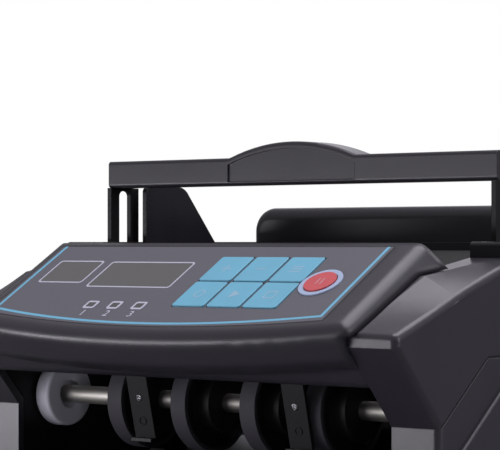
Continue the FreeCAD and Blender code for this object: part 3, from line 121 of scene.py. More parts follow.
class PrintSizes(bpy.types.PropertyGroup):
    """Sizes of what is printed on the panel and the keys."""

    stripe_half: length("Stripe half width", "From the panel's middle to the side stripes", 0.09025)
    stripe_width: length("Stripe width", "Width of the printed stripe", 0.0015)
    stripe_back: length("Stripe back margin", "From the film's back edge to the stripe's ends", 0.0005)
    stripe_reach: length("Stripe reach", "From the film's back edge to the front stripe's middle", 0.0609)
    stripe_radius: length("Stripe bow", "Radius of the bowed front stripe", 0.468)
    ink: length("Ink height", "How far a print stands off its surface", 0.00004)
    # Width of the dark line round the film's edge, a painted shadow rather than print
    rim_line: length("Rim line", "Width of the dark line round the film's edge", 0.0005)
    window_line: length("Window line", "Width of the line round a display", 0.0008)
    window_corner: length("Window corner", "Radius of a display line's corners", 0.0016)
    light_line: length("Light line", "Width of the line round an indicator light", 0.0011)
    label_height: length("Label height", "Height of the numbers under the indicator lights", 0.0042)
    label_gap: length("Label gap", "From an indicator light to its number", 0.0016)
    symbol: length("Key symbol", "Width of a key's symbol", 0.0056)
    symbol_line: length("Symbol line", "Line width of a key's symbol", 0.0007)


class ScrewSizes(bpy.types.PropertyGroup):
    """Sizes of the screws and rivet eyes on the note strips."""

    radius: length("Screw radius", "Radius of a strip screw's head", 0.0016)
    rise: length("Screw rise", "Height of a strip screw's dome", 0.0007)
    recess: length("Recess width", "Width of the cross recess", 0.0006)
    height: length("Screw height", "Height of the screws above the table", 0.0838)
    eye_height: length("Eye height", "Height of the rivet eyes above the table", 0.0738)
    eye_radius: length("Eye radius", "Outer radius of a rivet eye", 0.0021)
    eye_wall: length("Eye wall", "Wall of a rivet eye", 0.0006)


class FinishColours(bpy.types.PropertyGroup):
    """Colours of the finishes."""

    shell: colour("Casing", "Moulded charcoal plastic", (0.168, 0.162, 0.186))
    deck: colour("Deck", "Moulded black plastic", (0.100, 0.095, 0.116))
    film: colour("Film", "Printed panel film", (0.332, 0.330, 0.362))
    key: colour("Keys", "Blue key caps", (0.39, 0.65, 0.75))
    reset: colour("Round key", "Red round key", (0.74, 0.29, 0.31))
    bezel: colour("Ring", "Pale ring round the red key", (0.62, 0.68, 0.79))
    window: colour("Windows", "Smoked display windows", (0.325, 0.323, 0.320))
    stripe: colour("Stripe", "Printed blue stripe", (0.40, 0.66, 0.77))
    line: colour("Lines", "Printed pale lines", (0.70, 0.70, 0.76))
    # Colour of the painted shadow: the dark line round the film's edge stands in for shade
    rim: colour("Rim line", "Dark line round the film", (0.10, 0.10, 0.11))
    steel: colour("Steel", "Ground steel", (0.80, 0.79, 0.76))
    coat: colour("Powder coat", "Black powder coat", (0.055, 0.055, 0.06))
    zinc: colour("Zinc", "Zinc plate", (0.68, 0.69, 0.70))
    wheel: colour("Wheels", "Black nylon", (0.085, 0.085, 0.09))
    rubber: colour("Grey rubber", "Ground rubber rims", (0.195, 0.19, 0.218))
    foot: colour("Black rubber", "Moulded rubber", (0.12, 0.12, 0.12))
    nylon: colour("White nylon", "Turned nylon", (0.80, 0.80, 0.84))
    board: colour("Board", "Circuit board lacquer", (0.05, 0.33, 0.17))
    brass: colour("Brass", "Turned brass", (0.80, 0.66, 0.40))
    tape: colour("Winding tape", "Tape round the winding", (0.72, 0.55, 0.16))


class StageSizes(bpy.types.PropertyGroup):
    """The floor, the camera and the lights."""

    floor_radius: length("Floor radius", "Radius of the round floor", 0.62)
    camera_x: length("Camera X", "Camera to the machine's right", 0.6426)
    camera_y: length("Camera Y", "Camera along the machine's depth", -0.788)
    camera_z: length("Camera height", "Camera above the table", 0.150)
    camera_turn: FloatProperty(name="Camera turn", description="Camera's turn to the machine's right",
                               default=math.radians(40), unit="ROTATION")
    camera_lens: amount("Lens", "Focal length in millimetres", 166.2)
    camera_shift: amount("Shift", "Vertical shift of the lens", 0.036)
    sky_high: amount("Ceiling light", "Strength of the room's light from above", 0.42)
    sky_low: amount("Ground light", "Strength of the room's light from below", 0.10)
    sky_start: amount("Sky start", "Where the ground light ends, from -1 below to 1 above", -0.2)
    sky_end: amount("Sky end", "Where the ceiling light is reached, from -1 below to 1 above", 0.6)
    top_box: power("Top box", "Power of the soft box above the machine", 11.5)
    back_box: power("Back box", "Power of the soft box behind the machine", 2.6)
    low_box: power("Low box", "Power of the low card at the front left", 2.6)
    right_box: power("Right box", "Power of the soft box at the right", 5.0)
    left_box: power("Left box", "Power of the soft box at the back left", 0.5)
    tint: colour("Light tint", "Colour of the lights and the room", (0.98, 0.97, 1.0))
    floor: colour("Floor", "Plain pale floor", (0.93, 0.93, 0.93))


class CounterLooks(bpy.types.PropertyGroup):
    """All the settings of the looks."""

    prints: PointerProperty(type=PrintSizes)
    screws: PointerProperty(type=ScrewSizes)
    colours: PointerProperty(type=FinishColours)
    stage: PointerProperty(type=StageSizes)


def settings():
    """The user's settings in this scene."""
    return bpy.context.scene.counter_looks


def linear(shade):
    """A colour as the screen shows it, turned into light by the screen's curve, with full alpha."""
    def one(part):
        return part / 12.92 if part <= 0.04045 else ((part + 0.055) / 1.055) ** 2.4
    return tuple(one(part) for part in shade) + (1.0,)


def scaled(shade, share):
    """A colour made darker or lighter by a share."""
    return tuple(min(1.0, part * share) for part in shade[:3]) + (1.0,)


def halfway(first, second):
    """The colour midway between two colours."""
    return tuple((one + other) / 2 for one, other in zip(first, second))


# Shader maths


class Socket:
    """One socket of a node tree; arithmetic on it adds Math nodes."""

    def __init__(self, nodes, socket):
        self.nodes = nodes
        self.socket = socket

    def maths(self, operation, other):
        return self.nodes.node("ShaderNodeMath", {"operation": operation}, {0: self, 1: other})

    def __add__(self, other):
        return self.maths("ADD", other)

    __radd__ = __add__

    def __sub__(self, other):
        return self.maths("SUBTRACT", other)

    def __mul__(self, other):
        return self.maths("MULTIPLY", other)

    def __lt__(self, other):
        return self.maths("LESS_THAN", other)


class Nodes:
    """An emptied node tree of a material or a world."""

    def __init__(self, owner):
        owner.use_nodes = True
        self.tree = owner.node_tree
        self.tree.nodes.clear()

    def node(self, kind, options=None, sockets=None, output=0):
        """Add a node: set its options first, then the values or links of its sockets."""
        node = self.tree.nodes.new(kind)
        for name, option in (options or {}).items():
            setattr(node, name, option)
        self.join(node, sockets or {})
        return Socket(self, node.outputs[output]) if len(node.outputs) else None

    def join(self, node, sockets):
        """Link or set a node's sockets."""
        for name, value in sockets.items():
            if isinstance(value, Socket):
                self.tree.links.new(value.socket, node.inputs[name])
            else:
                node.inputs[name].default_value = value


class Finish(Nodes):
    """A material whose node tree ends in one surface shader."""

    def __init__(self, name):
        self.material = bpy.data.materials.new(name)
        super().__init__(self.material)
        self.surface = self.node("ShaderNodeBsdfPrincipled")
        self.node("ShaderNodeOutputMaterial", sockets={"Surface": self.surface})

    def shade(self, **sockets):
        """Set the surface shader's sockets; an underscore stands for a space."""
        names = {name.replace("_", " "): value for name, value in sockets.items()}
        self.join(self.surface.socket.node, names)
        return self.material

    def place(self, stretch=EVEN):
        """Where a point lies on the machine, in metres, with each axis stretched."""
        here = self.node("ShaderNodeTexCoord", output="Object")
        return self.node("ShaderNodeMapping", sockets={"Vector": here, "Scale": stretch})

    def noise(self, grain, detail=2.0, stretch=EVEN):
        """Noise whose features are a given size in metres."""
        return self.node("ShaderNodeTexNoise", sockets={
            "Vector": self.place(stretch), "Scale": 1.0 / grain, "Detail": detail})

    def dots(self, grain, radius):
        """Round dots on scattered points that lie a grain apart; the radius is a share of the grain."""
        distance = self.node("ShaderNodeTexVoronoi", sockets={"Vector": self.place(), "Scale": 1.0 / grain})
        return distance < radius

    def between(self, first, second, share):
        """A colour between two colours."""
        return self.node("ShaderNodeMix", {"data_type": "RGBA"}, {
            MIX_SHARE: share, MIX_FIRST: first, MIX_SECOND: second}, output=MIX_RESULT)

    def tinted(self, shade, darkest, lightest, share):
        """A colour that runs from a darker to a lighter tone of one shade."""
        base = linear(shade)
        return self.between(scaled(base, darkest), scaled(base, lightest), share)

    def soft(self, radius, feelers=6):
        """The surface's normal with its corners softened; more feelers give a smoother corner."""
        return self.node("ShaderNodeBevel", {"samples": feelers}, {"Radius": radius})

    def bump(self, height, depth, normal):
        """A normal that follows a height, to a depth in metres."""
        return self.node("ShaderNodeBump", sockets={
            "Strength": 1.0, "Distance": depth, "Height": height, "Normal": normal})


def swing(noise, width):
    """Noise about zero, over a width."""
    return (noise - 0.5) * width


def blended(first, second, share):
    """Two noises added up, with a share of the first."""
    return first * share + second * (1.0 - share)


def moulded(name, shade, roughness, grain=0.0005, depth=0.00003, edge=0.0006, spread=0.10, feelers=6):
    """Spark-eroded moulded plastic: fine grain, faint flow marks and soft corners."""
    finish = Finish(name)
    flow = finish.noise(grain=0.035, detail=3.0, stretch=(1.0, 2.5, 1.0))
    speck = finish.noise(grain, detail=3.0)
    tones = blended(flow, speck, share=0.7)
    return finish.shade(
        Base_Color=finish.tinted(shade, darkest=1.0 - spread, lightest=1.0 + spread, share=tones),
        Roughness=roughness + swing(speck, width=0.16) + swing(flow, width=0.10),
        Normal=finish.bump(speck, depth, finish.soft(edge, feelers)),
    )


def film_print(name, shade):
    """Printed film: a fine satin lacquer with faint streaks across the panel."""
    finish = Finish(name)
    streak = finish.noise(grain=0.0016, stretch=(0.08, 1.0, 1.0))
    speck = finish.noise(grain=0.00035)
    tones = blended(streak, speck, share=0.5)
    return finish.shade(
        Base_Color=finish.tinted(shade, darkest=0.93, lightest=1.07, share=tones),
        Roughness=0.40 + swing(speck, width=0.12),
        Normal=finish.bump(speck, depth=0.000012, normal=finish.soft(radius=0.0003)),
    )


def key_plastic(name, shade):
    """Satin key plastic, a little lighter where fingers rub it."""
    finish = Finish(name)
    rub = finish.noise(grain=0.009)
    speck = finish.noise(grain=0.00035)
    return finish.shade(
        Base_Color=finish.tinted(shade, darkest=0.94, lightest=1.08, share=rub),
        Roughness=0.42 + swing(rub, width=0.16) + swing(speck, width=0.08),
        Normal=finish.bump(speck, depth=0.00001, normal=finish.soft(radius=0.0003)),
    )


def smoked(name, shade):
    """A smoked display window with a faint mask behind it."""
    finish = Finish(name)
    mask = finish.noise(grain=0.0007, detail=1.0)
    haze = finish.noise(grain=0.012)
    tones = blended(mask, haze, share=0.4)
    return finish.shade(
        Base_Color=finish.tinted(shade, darkest=0.92, lightest=1.06, share=tones),
        Roughness=0.30 + haze * 0.10,
        Normal=finish.soft(radius=0.0002),
    )


def ground_metal(name, shade, roughness, stretch=EVEN, spread=0.18, depth=0.000008):
    """Metal with fine grinding marks, drawn out along the axis that is stretched least."""
    finish = Finish(name)
    marks = finish.noise(grain=0.0006, detail=3.0, stretch=stretch)
    stain = finish.noise(grain=0.02)
    tones = blended(marks, stain, share=0.6)
    return finish.shade(
        Base_Color=finish.tinted(shade, darkest=1.0 - spread, lightest=1.0, share=tones),
        Metallic=1.0,
        Roughness=roughness + swing(marks, width=spread) + swing(stain, width=0.10),
        Normal=finish.bump(marks, depth, finish.soft(radius=0.0004)),
    )


def rubber(name, shade, grain=0.0004):
    """Ground rubber: matt, with a fine nap and dusty rubbed patches."""
    finish = Finish(name)
    nap = finish.noise(grain, detail=4.0)
    dust = finish.noise(grain=0.006, detail=3.0)
    tones = blended(nap, dust, share=0.4)
    return finish.shade(
        Base_Color=finish.tinted(shade, darkest=0.82, lightest=1.18, share=tones),
        Roughness=0.72 + swing(dust, width=0.2),
        Normal=finish.bump(nap, depth=0.00005, normal=finish.soft(radius=0.0005)),
    )


def powder_coat(name, shade):
    """Powder-coated sheet metal: an orange-peel skin with sparse bright specks."""
    finish = Finish(name)
    bright = scaled(linear(shade), 3.0)
    peel = finish.noise(grain=0.0011)
    speck = finish.dots(grain=0.0011, radius=0.09)
    skin = finish.tinted(shade, darkest=0.88, lightest=1.15, share=peel)
    return finish.shade(
        Base_Color=finish.between(skin, bright, share=speck),
        Roughness=0.50 + swing(peel, width=0.2),
        Specular_IOR_Level=0.3,
        Normal=finish.bump(peel, depth=0.00004, normal=finish.soft(radius=0.0004)),
    )


def circuit_board(name, shade):
    """Green lacquer over copper tracks, with tinned dots."""
    finish = Finish(name)
    base = linear(shade)
    tinned = (0.55, 0.55, 0.52, 1.0)
    tracks = finish.node("ShaderNodeTexBrick", sockets={
        "Vector": finish.place(), "Scale": 60.0, "Mortar Size": 0.02,
        "Color1": base, "Color2": scaled(base, 0.85), "Mortar": scaled(base, 1.7)})
    dots = finish.dots(grain=0.004, radius=0.12)
    return finish.shade(
        Base_Color=finish.between(tracks, tinned, share=dots),
        Metallic=dots,
        Roughness=0.35 + dots * 0.1,
    )


def wound_tape(name, shade):
    """Yellow tape round a winding, with the turns showing through."""
    finish = Finish(name)
    turns = finish.node("ShaderNodeTexWave", {"bands_direction": "Z"}, {
        "Vector": finish.place(), "Scale": 220.0, "Distortion": 1.5}, output=1)
    return finish.shade(
        Base_Color=finish.tinted(shade, darkest=0.75, lightest=1.0, share=turns),
        Roughness=0.45 + turns * 0.15,
        Normal=finish.bump(turns, depth=0.0001, normal=finish.soft(radius=0.0004)),
    )


def ink(name, shade):
    """Printed ink whose tone is slightly broken."""
    finish = Finish(name)
    speck = finish.noise(grain=0.0005)
    return finish.shade(
        Base_Color=finish.tinted(shade, darkest=0.92, lightest=1.05, share=speck),
        Roughness=0.42 + speck * 0.1,
    )


def make_finishes():
    """Every finish by the record's slot, the head's rounder charcoal, and the inks by name."""
    shades = settings().colours
    light_window = scaled(shades.window, 0.85)[:3]
    across = (0.06, 1.0, 1.0)
    return {
        "shell_charcoal": moulded("moulded_charcoal", shades.shell, roughness=0.34),
        "head_charcoal": moulded("moulded_head", shades.shell, roughness=0.34, edge=0.0045, feelers=16),
        "deck_black": moulded("moulded_black", shades.deck, roughness=0.30, depth=0.00001),
        "overlay_grey": film_print("printed_film", shades.film),
        "key_blue": key_plastic("key_blue_plastic", shades.key),
        "key_red": key_plastic("key_red_plastic", shades.reset),
        "ring_pale": key_plastic("ring_pale_plastic", shades.bezel),
        "lens_olive": smoked("smoked_window", shades.window),
        "led_clear": smoked("smoked_light", light_window),
        "steel": ground_metal("ground_steel", shades.steel, roughness=0.55, stretch=across, spread=0.06,
                              depth=0.000001),
        "frame_paint": powder_coat("black_powder_coat", shades.coat),
        "zinc": ground_metal("zinc_plate", shades.zinc, roughness=0.42),
        "wheel_black": moulded("black_nylon", shades.wheel, roughness=0.50),
        "rubber_grey": rubber("grey_rubber", shades.rubber),
        "rubber_black": rubber("black_rubber", shades.foot, grain=0.0006),
        "nylon_white": moulded("white_nylon", shades.nylon, roughness=0.45, grain=0.0003, depth=0.00001,
                               spread=0.06),
        "board_green": circuit_board("board_lacquer", shades.board),
        "brass": ground_metal("turned_brass", shades.brass, roughness=0.30, stretch=across),
        "copper_wound": wound_tape("winding_tape", shades.tape),
        "stripe_ink": ink("stripe_blue_ink", shades.stripe),
        "line_ink": ink("pale_line_ink", shades.line),
        # Dark paint that stands in for the shadow along the film's edge
        "rim_shadow_paint": ink("dark_rim_ink", shades.rim),
        "symbol_ink": ink("key_symbol_ink", halfway(shades.key, shades.line)),
        "reset_ink": ink("round_key_symbol_ink", halfway(shades.reset, shades.line)),
    }


finishes = {}


# Mesh helpers


def add_piece(name, data, finish, body):
    """A new object that rides on a body and takes its finish from a slot."""
    item = bpy.data.objects.new(name, data)
    bpy.context.scene.collection.objects.link(item)
    item.data.materials.append(finishes[finish])
    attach(item, body)


def add_built(name, mesh, finish, body):
    """A new piece from built faces, turned outward."""
    bmesh.ops.recalc_face_normals(mesh, faces=mesh.faces)
    data = bpy.data.meshes.new(name)
    mesh.to_mesh(data)
    mesh.free()
    add_piece(name, data, finish, body)


def panel_axes():
    """The panel's own axes: from its film's back edge down the slope, and out of the panel."""
    press = [joint for joint in frame["joints"] if joint["name"] == "key_1_press"][0]
    outward = -Vector(press["axis"]).normalized()
    down = Vector((0.0, -outward.z, outward.y))
    film = frame["nodes"]["panel_overlay"].data
    top = max((point.co for point in film.vertices), key=lambda spot: spot.z)
    return Vector((0.0, top.y, top.z)), down, outward


def on_panel(across, down_slope, out):
    """A point given across the panel, down its slope and out of it."""
    origin, down, outward = panel_axes()
    return origin + Vector((across, 0.0, 0.0)) + down * down_slope + outward * out


def solids_on_panel(node):
    """The boxes of a node's separate solids in the panel's axes, from left to right."""
    origin, down, outward = panel_axes()
    mesh = bmesh.new()
    mesh.from_mesh(frame["nodes"][node].data)
    bmesh.ops.remove_doubles(mesh, verts=mesh.verts, dist=WELD)
    boxes = []
    waiting = set(mesh.verts)
    while waiting:
        grown = [waiting.pop()]
        spots = []
        while grown:
            point = grown.pop()
            local = point.co - origin
            spots.append((local.x, local.dot(down), local.dot(outward)))
            for edge in point.link_edges:
                other = edge.other_vert(point)
                if other in waiting:
                    waiting.remove(other)
                    grown.append(other)
        boxes.append((Vector(map(min, zip(*spots))), Vector(map(max, zip(*spots)))))
    mesh.free()
    return sorted(boxes, key=lambda box: box[0].x)


def spots_on_panel(node):
    """Where a node's points lie across the panel and down its slope."""
    origin, down, _ = panel_axes()
    places = [point.co - origin for point in frame["nodes"][node].data.vertices]
    return [(place.x, place.dot(down)) for place in places]


def rounded(left, right, low, high, radius):
    """A rounded rectangle's outline, as (across, along) pairs."""
    points = []
    corners = ((right - radius, high - radius), (left + radius, high - radius),
               (left + radius, low + radius), (right - radius, low + radius))
    for quarter, (x, y) in enumerate(corners):
        for step in range(CORNER_STEPS + 1):
            angle = (quarter + step / CORNER_STEPS) * math.pi / 2
            points.append((x + radius * math.cos(angle), y + radius * math.sin(angle)))
    return points


def framing(low, high, margin, radius):
    """A rounded rectangle that stands off a box on the panel by a margin."""
    return rounded(low.x - margin, high.x + margin, low.y - margin, high.y + margin, radius)


def circle(x, y, radius, steps=ROUND_STEPS):
    """A circle's outline."""
    turn = [2 * math.pi * step / steps for step in range(steps)]
    return [(x + radius * math.cos(angle), y + radius * math.sin(angle)) for angle in turn]


def bowed(half, reach, radius):
    """A bowed front line from left to right, whose middle reaches furthest down the slope."""
    points = []
    for step in range(ARC_STEPS + 1):
        x = half * (2 * step / ARC_STEPS - 1)
        fall = radius - math.sqrt(radius ** 2 - x ** 2)
        points.append((x, reach - fall))
    return points


def lifted(mesh, outline, out):
    """An outline's points, set at a height off the panel."""
    return [mesh.verts.new(on_panel(x, y, out)) for x, y in outline]


def join_rows(mesh, first, second, closed=True):
    """Faces between two rows of as many points, closed into a ring or open."""
    for number in range(len(first) if closed else len(first) - 1):
        following = (number + 1) % len(first)
        mesh.faces.new((first[number], first[following], second[following], second[number]))


def raised(mesh, outline, low, high):
    """A closed flat solid on the panel from one outline."""
    bottom = lifted(mesh, outline, low)
    top = lifted(mesh, outline, high)
    mesh.faces.new(top)
    mesh.faces.new(bottom[::-1])
    join_rows(mesh, bottom, top)


def raised_ring(mesh, outer, inner, low, high):
    """A closed flat ring on the panel between two outlines of as many points."""
    loops = [lifted(mesh, outer, low), lifted(mesh, outer, high),
             lifted(mesh, inner, high), lifted(mesh, inner, low)]
    for number, loop in enumerate(loops):
        join_rows(mesh, loops[number - 1], loop)


# Key symbols, each drawn about a middle between two levels


def bar(mesh, levels, x, y, width, height):
    """A flat bar with rounded corners."""
    corner = min(width, height) * BAR_CORNER
    outline = rounded(x - width / 2, x + width / 2, y - height / 2, y + height / 2, corner)
    raised(mesh, outline, *levels)


def plus_sign(mesh, levels, x, y, size, line):
    """A bar across, and an arm above and below it."""
    arm = size / 2 - line / 2
    offset = size / 4 + line / 4
    bar(mesh, levels, x, y, size, line)
    bar(mesh, levels, x, y - offset, line, arm)
    bar(mesh, levels, x, y + offset, line, arm)


def minus_sign(mesh, levels, x, y, size, line):
    """One bar across."""
    bar(mesh, levels, x, y, size, line)


def list_sign(mesh, levels, x, y, size, line):
    """Three bars across."""
    for row in (-1, 0, 1):
        bar(mesh, levels, x, y + row * size / 3, size, line)


def ring_sign(mesh, levels, x, y, size, line):
    """A round ring."""
    raised_ring(mesh, circle(x, y, size / 2), circle(x, y, size / 2 - line), *levels)


def start_sign(mesh, levels, x, y, size, line):
    """A filled triangle that points to the right; it has no line."""
    corners = [(x - size / 3, y - size / 2), (x + size / 2, y), (x - size / 3, y + size / 2)]
    raised(mesh, corners, *levels)


def square_sign(mesh, levels, x, y, size, line):
    """A square ring."""
    half = size / 2
    inside = half - line
    outer = rounded(x - half, x + half, y - half, y + half, line)
    inner = rounded(x - inside, x + inside, y - inside, y + inside, line / 2)
    raised_ring(mesh, outer, inner, *levels)


def pause_sign(mesh, levels, x, y, size, line):
    """Two upright bars."""
    for side in (-1, 1):
        bar(mesh, levels, x + side * size / 5, y, line, size * PAUSE_HEIGHT)


SIGNS = {
    "key_1": plus_sign,
    "key_2": minus_sign,
    "key_3": list_sign,
    "key_4": ring_sign,
    "key_5": start_sign,
    "key_6": square_sign,
    "reset_key": pause_sign,
}


# Operators


def dress(slot_names):
    """Give every node of these slots its finish."""
    for part in frame["record"]["subparts"]:
        if part["material_slot"] in slot_names:
            item = frame["nodes"][part["node"]]
            item.data.materials.clear()
            item.data.materials.append(finishes[part["material_slot"]])


class COUNTER_OT_finishes(bpy.types.Operator):
    """Mix every finish and ink."""

    bl_idname = "counter.finishes"
    bl_label = "Mix the finishes"

    def execute(self, context):
        finishes.update(make_finishes())
        return {"FINISHED"}


class COUNTER_OT_casing(bpy.types.Operator):
    """Finish the casings, skirts, head, deck, handle, guides, rest and painted frame."""

    bl_idname = "counter.casing"
    bl_label = "Finish the casing"

    def execute(self, context):
        dress({"shell_charcoal", "deck_black", "frame_paint"})
        frame["nodes"]["head_shell"].data.materials[0] = finishes["head_charcoal"]
        return {"FINISHED"}


class COUNTER_OT_panel(bpy.types.Operator):
    """Finish the panel film, the windows, the keys and the ring."""

    bl_idname = "counter.panel"
    bl_label = "Finish the panel"

    def execute(self, context):
        dress({"overlay_grey", "key_blue", "key_red", "ring_pale", "lens_olive", "led_clear"})
        return {"FINISHED"}


class COUNTER_OT_drive(bpy.types.Operator):
    """Finish the shafts, wheels, rollers, rims, feet and belts."""

    bl_idname = "counter.drive"
    bl_label = "Finish the drive"

    def execute(self, context):
        dress({"steel", "wheel_black", "rubber_grey", "rubber_black", "nylon_white"})
        return {"FINISHED"}


class COUNTER_OT_electrics(bpy.types.Operator):
    """Finish the pan, the boards, the transformer and the fittings at the back."""

    bl_idname = "counter.electrics"
    bl_label = "Finish the electrical pieces"

    def execute(self, context):
        dress({"zinc", "board_green", "brass", "copper_wound"})
        return {"FINISHED"}


class COUNTER_OT_stripe(bpy.types.Operator):
    """Print the stripe down both sides of the panel and round its bowed front."""

    bl_idname = "counter.stripe"
    bl_label = "Print the stripe"

    def execute(self, context):
        sizes = settings().prints

        def path(offset):
            half = sizes.stripe_half + offset
            front = bowed(half, sizes.stripe_reach + offset, sizes.stripe_radius)
            return [(-half, sizes.stripe_back)] + front + [(half, sizes.stripe_back)]

        outer = path(sizes.stripe_width / 2)
        inner = path(-sizes.stripe_width / 2)
        mesh = bmesh.new()
        rows = [lifted(mesh, outer, 0.0), lifted(mesh, outer, sizes.ink),
                lifted(mesh, inner, sizes.ink), lifted(mesh, inner, 0.0)]
        for number, row in enumerate(rows):
            join_rows(mesh, rows[number - 1], row, closed=False)
        for end in (0, -1):
            mesh.faces.new([row[end] for row in rows])
        add_built("panel_stripe", mesh, "stripe_ink", "chassis")
        return {"FINISHED"}


class COUNTER_OT_rim(bpy.types.Operator):
    """Paint the shadow along the film's edge as a dark line round the film."""

    bl_idname = "counter.rim"
    bl_label = "Print the rim line"

    def execute(self, context):
        sizes = settings().prints
        low, high = solids_on_panel("panel_overlay")[0]
        corner = max(y for x, y in spots_on_panel("panel_overlay") if x > high.x - sizes.rim_line / 2)
        fall = high.y - corner
        radius = (high.x ** 2 + fall ** 2) / (2 * fall)

        def outline(inset):
            half = high.x - inset
            back = low.y + inset
            return [(half, back), (-half, back)] + bowed(half, high.y - inset, radius)

        # A thin dark band painted where the film's edge lies in shade
        mesh = bmesh.new()
        raised_ring(mesh, outline(0.0), outline(sizes.rim_line), -sizes.ink, sizes.ink)
        add_built("panel_rim", mesh, "rim_shadow_paint", "chassis")
        return {"FINISHED"}


class COUNTER_OT_lines(bpy.types.Operator):
    """Print the lines round the displays and the indicator lights, and number the lights."""

    bl_idname = "counter.lines"
    bl_label = "Print the lines and numbers"

    def execute(self, context):
        sizes = settings().prints
        mesh = bmesh.new()
        for node, width, corner in (("display_lenses", sizes.window_line, sizes.window_corner),
                                    ("led_lenses", sizes.light_line, sizes.light_line)):
            for low, high in solids_on_panel(node):
                outer = framing(low, high, width / 2, corner)
                inner = framing(low, high, -width / 2, corner - width / 2)
                raised_ring(mesh, outer, inner, 0.0, high.z + sizes.ink)
        add_built("panel_lines", mesh, "line_ink", "chassis")

        _, down, outward = panel_axes()
        turn = Matrix((Vector((1.0, 0.0, 0.0)), -down, outward)).transposed().to_4x4()
        for number, (low, high) in enumerate(solids_on_panel("led_lenses"), 1):
            name = "light_number_%d" % number
            digits = bpy.data.curves.new(name, "FONT")
            digits.body = str(number)
            digits.size = sizes.label_height * FONT_OVER_DIGIT
            digits.align_x = "CENTER"
            digits.extrude = sizes.ink
            maker = bpy.data.objects.new("number_maker", digits)
            data = bpy.data.meshes.new_from_object(maker)
            bpy.data.objects.remove(maker)
            foot = high.y + sizes.label_gap + sizes.label_height
            spot = on_panel((low.x + high.x) / 2, foot, 0.0)
            data.transform(Matrix.Translation(spot) @ turn)
            data.materials.clear()
            add_piece(name, data, "line_ink", "chassis")
        return {"FINISHED"}


class COUNTER_OT_symbols(bpy.types.Operator):
    """Print a plain symbol on each key."""

    bl_idname = "counter.symbols"
    bl_label = "Print the key symbols"

    def execute(self, context):
        sizes = settings().prints
        for name, draw in SIGNS.items():
            low, high = solids_on_panel(name)[0]
            x = (low.x + high.x) / 2
            y = (low.y + high.y) / 2
            levels = (high.z - sizes.ink, high.z + sizes.ink)
            mesh = bmesh.new()
            draw(mesh, levels, x, y, sizes.symbol, sizes.symbol_line)
            is_reset = name == "reset_key"
            body = "reset" if is_reset else name + "_cap"
            finish = "reset_ink" if is_reset else "symbol_ink"
            add_built(name + "_symbol", mesh, finish, body)
        return {"FINISHED"}


class COUNTER_OT_screws(bpy.types.Operator):
    """Set a domed cross-recessed screw and a rivet eye on each note strip."""

    bl_idname = "counter.screws"
    bl_label = "Set the strip screws"

    def execute(self, context):
        sizes = settings().screws
        screws = bmesh.new()
        eyes = bmesh.new()
        for low, high in solids_on_panel("note_strips"):
            x = (low.x + high.x) / 2
            self.dome(screws, sizes, self.seat(x, sizes.height))
            self.eye(eyes, sizes, self.seat(x, sizes.eye_height))
        add_built("strip_screws", screws, "zinc", "chassis")
        add_built("strip_eyes", eyes, "frame_paint", "chassis")
        return {"FINISHED"}

    def seat(self, x, height):
        """The place of a fastener on a strip's face, turned to face out of it."""
        strips = frame["nodes"]["note_strips"]
        start = Vector((x, RAY_START, height))
        hit, spot, normal, _ = strips.ray_cast(start, Vector((0.0, 1.0, 0.0)))
        if not hit:
            raise RuntimeError("a strip has no face at its screw")
        return Matrix.Translation(spot) @ normal.to_track_quat("Z", "Y").to_matrix().to_4x4()

    def dome(self, mesh, sizes, place):
        """A domed head in rings, its middle pressed in along a cross."""
        last = None
        for ring in range(DOME_RINGS):
            slope = ring / DOME_RINGS * math.pi / 2
            radius = sizes.radius * math.cos(slope)
            rise = sizes.rise * math.sin(slope)
            loop = []
            for x, y in circle(0.0, 0.0, radius, SCREW_STEPS):
                in_arm = min(abs(x), abs(y)) < sizes.recess / 2
                on_cross = in_arm and radius < sizes.radius * RECESS_REACH
                sunk = sizes.rise * RECESS_DEPTH if on_cross else 0.0
                loop.append(mesh.verts.new(place @ Vector((x, y, rise - sunk))))
            if last:
                join_rows(mesh, last, loop)
            else:
                mesh.faces.new(loop[::-1])
            last = loop
        mesh.faces.new(last)

    def eye(self, mesh, sizes, place):
        """A low rolled ring."""
        half_wall = sizes.eye_wall / 2
        section = circle(sizes.eye_radius - half_wall, 0.0, half_wall, EYE_STEPS)
        loops = []
        for x, y in circle(0.0, 0.0, 1.0, SCREW_STEPS):
            spots = [Vector((reach * x, reach * y, rise)) for reach, rise in section]
            loops.append([mesh.verts.new(place @ spot) for spot in spots])
        for number, loop in enumerate(loops):
            join_rows(mesh, loops[number - 1], loop)


def set_floor(scene, sizes):
    """A round pale floor, which the machine's gloss doesn't mirror."""
    mesh = bmesh.new()
    bmesh.ops.create_circle(mesh, cap_ends=True, radius=sizes.floor_radius, segments=FLOOR_STEPS)
    data = bpy.data.meshes.new("floor")
    mesh.to_mesh(data)
    mesh.free()
    finish = Finish("pale_floor")
    data.materials.append(finish.shade(Base_Color=linear(sizes.floor), Roughness=0.7))
    floor = bpy.data.objects.new("floor", data)
    scene.collection.objects.link(floor)
    floor.visible_glossy = False


def light_room(scene, sizes):
    """A room lit more from above than from below, which the camera sees as plain white."""
    scene.world = bpy.data.worlds.new("studio")
    room = Nodes(scene.world)
    facing = room.node("ShaderNodeTexCoord")
    rise = room.node("ShaderNodeSeparateXYZ", sockets={"Vector": facing}, output="Z")
    light = room.node("ShaderNodeMapRange", {"interpolation_type": "SMOOTHSTEP"}, {
        "Value": rise, "From Min": sizes.sky_start, "From Max": sizes.sky_end,
        "To Min": sizes.sky_low, "To Max": sizes.sky_high})
    glow = room.node("ShaderNodeBackground", sockets={"Color": linear(sizes.tint), "Strength": light})
    backdrop = room.node("ShaderNodeBackground", sockets={"Color": (1.0, 1.0, 1.0, 1.0)})
    seen = room.node("ShaderNodeLightPath", output="Is Camera Ray")
    mix = room.node("ShaderNodeMixShader", sockets={0: seen, 1: glow, 2: backdrop})
    room.node("ShaderNodeOutputWorld", sockets={"Surface": mix})


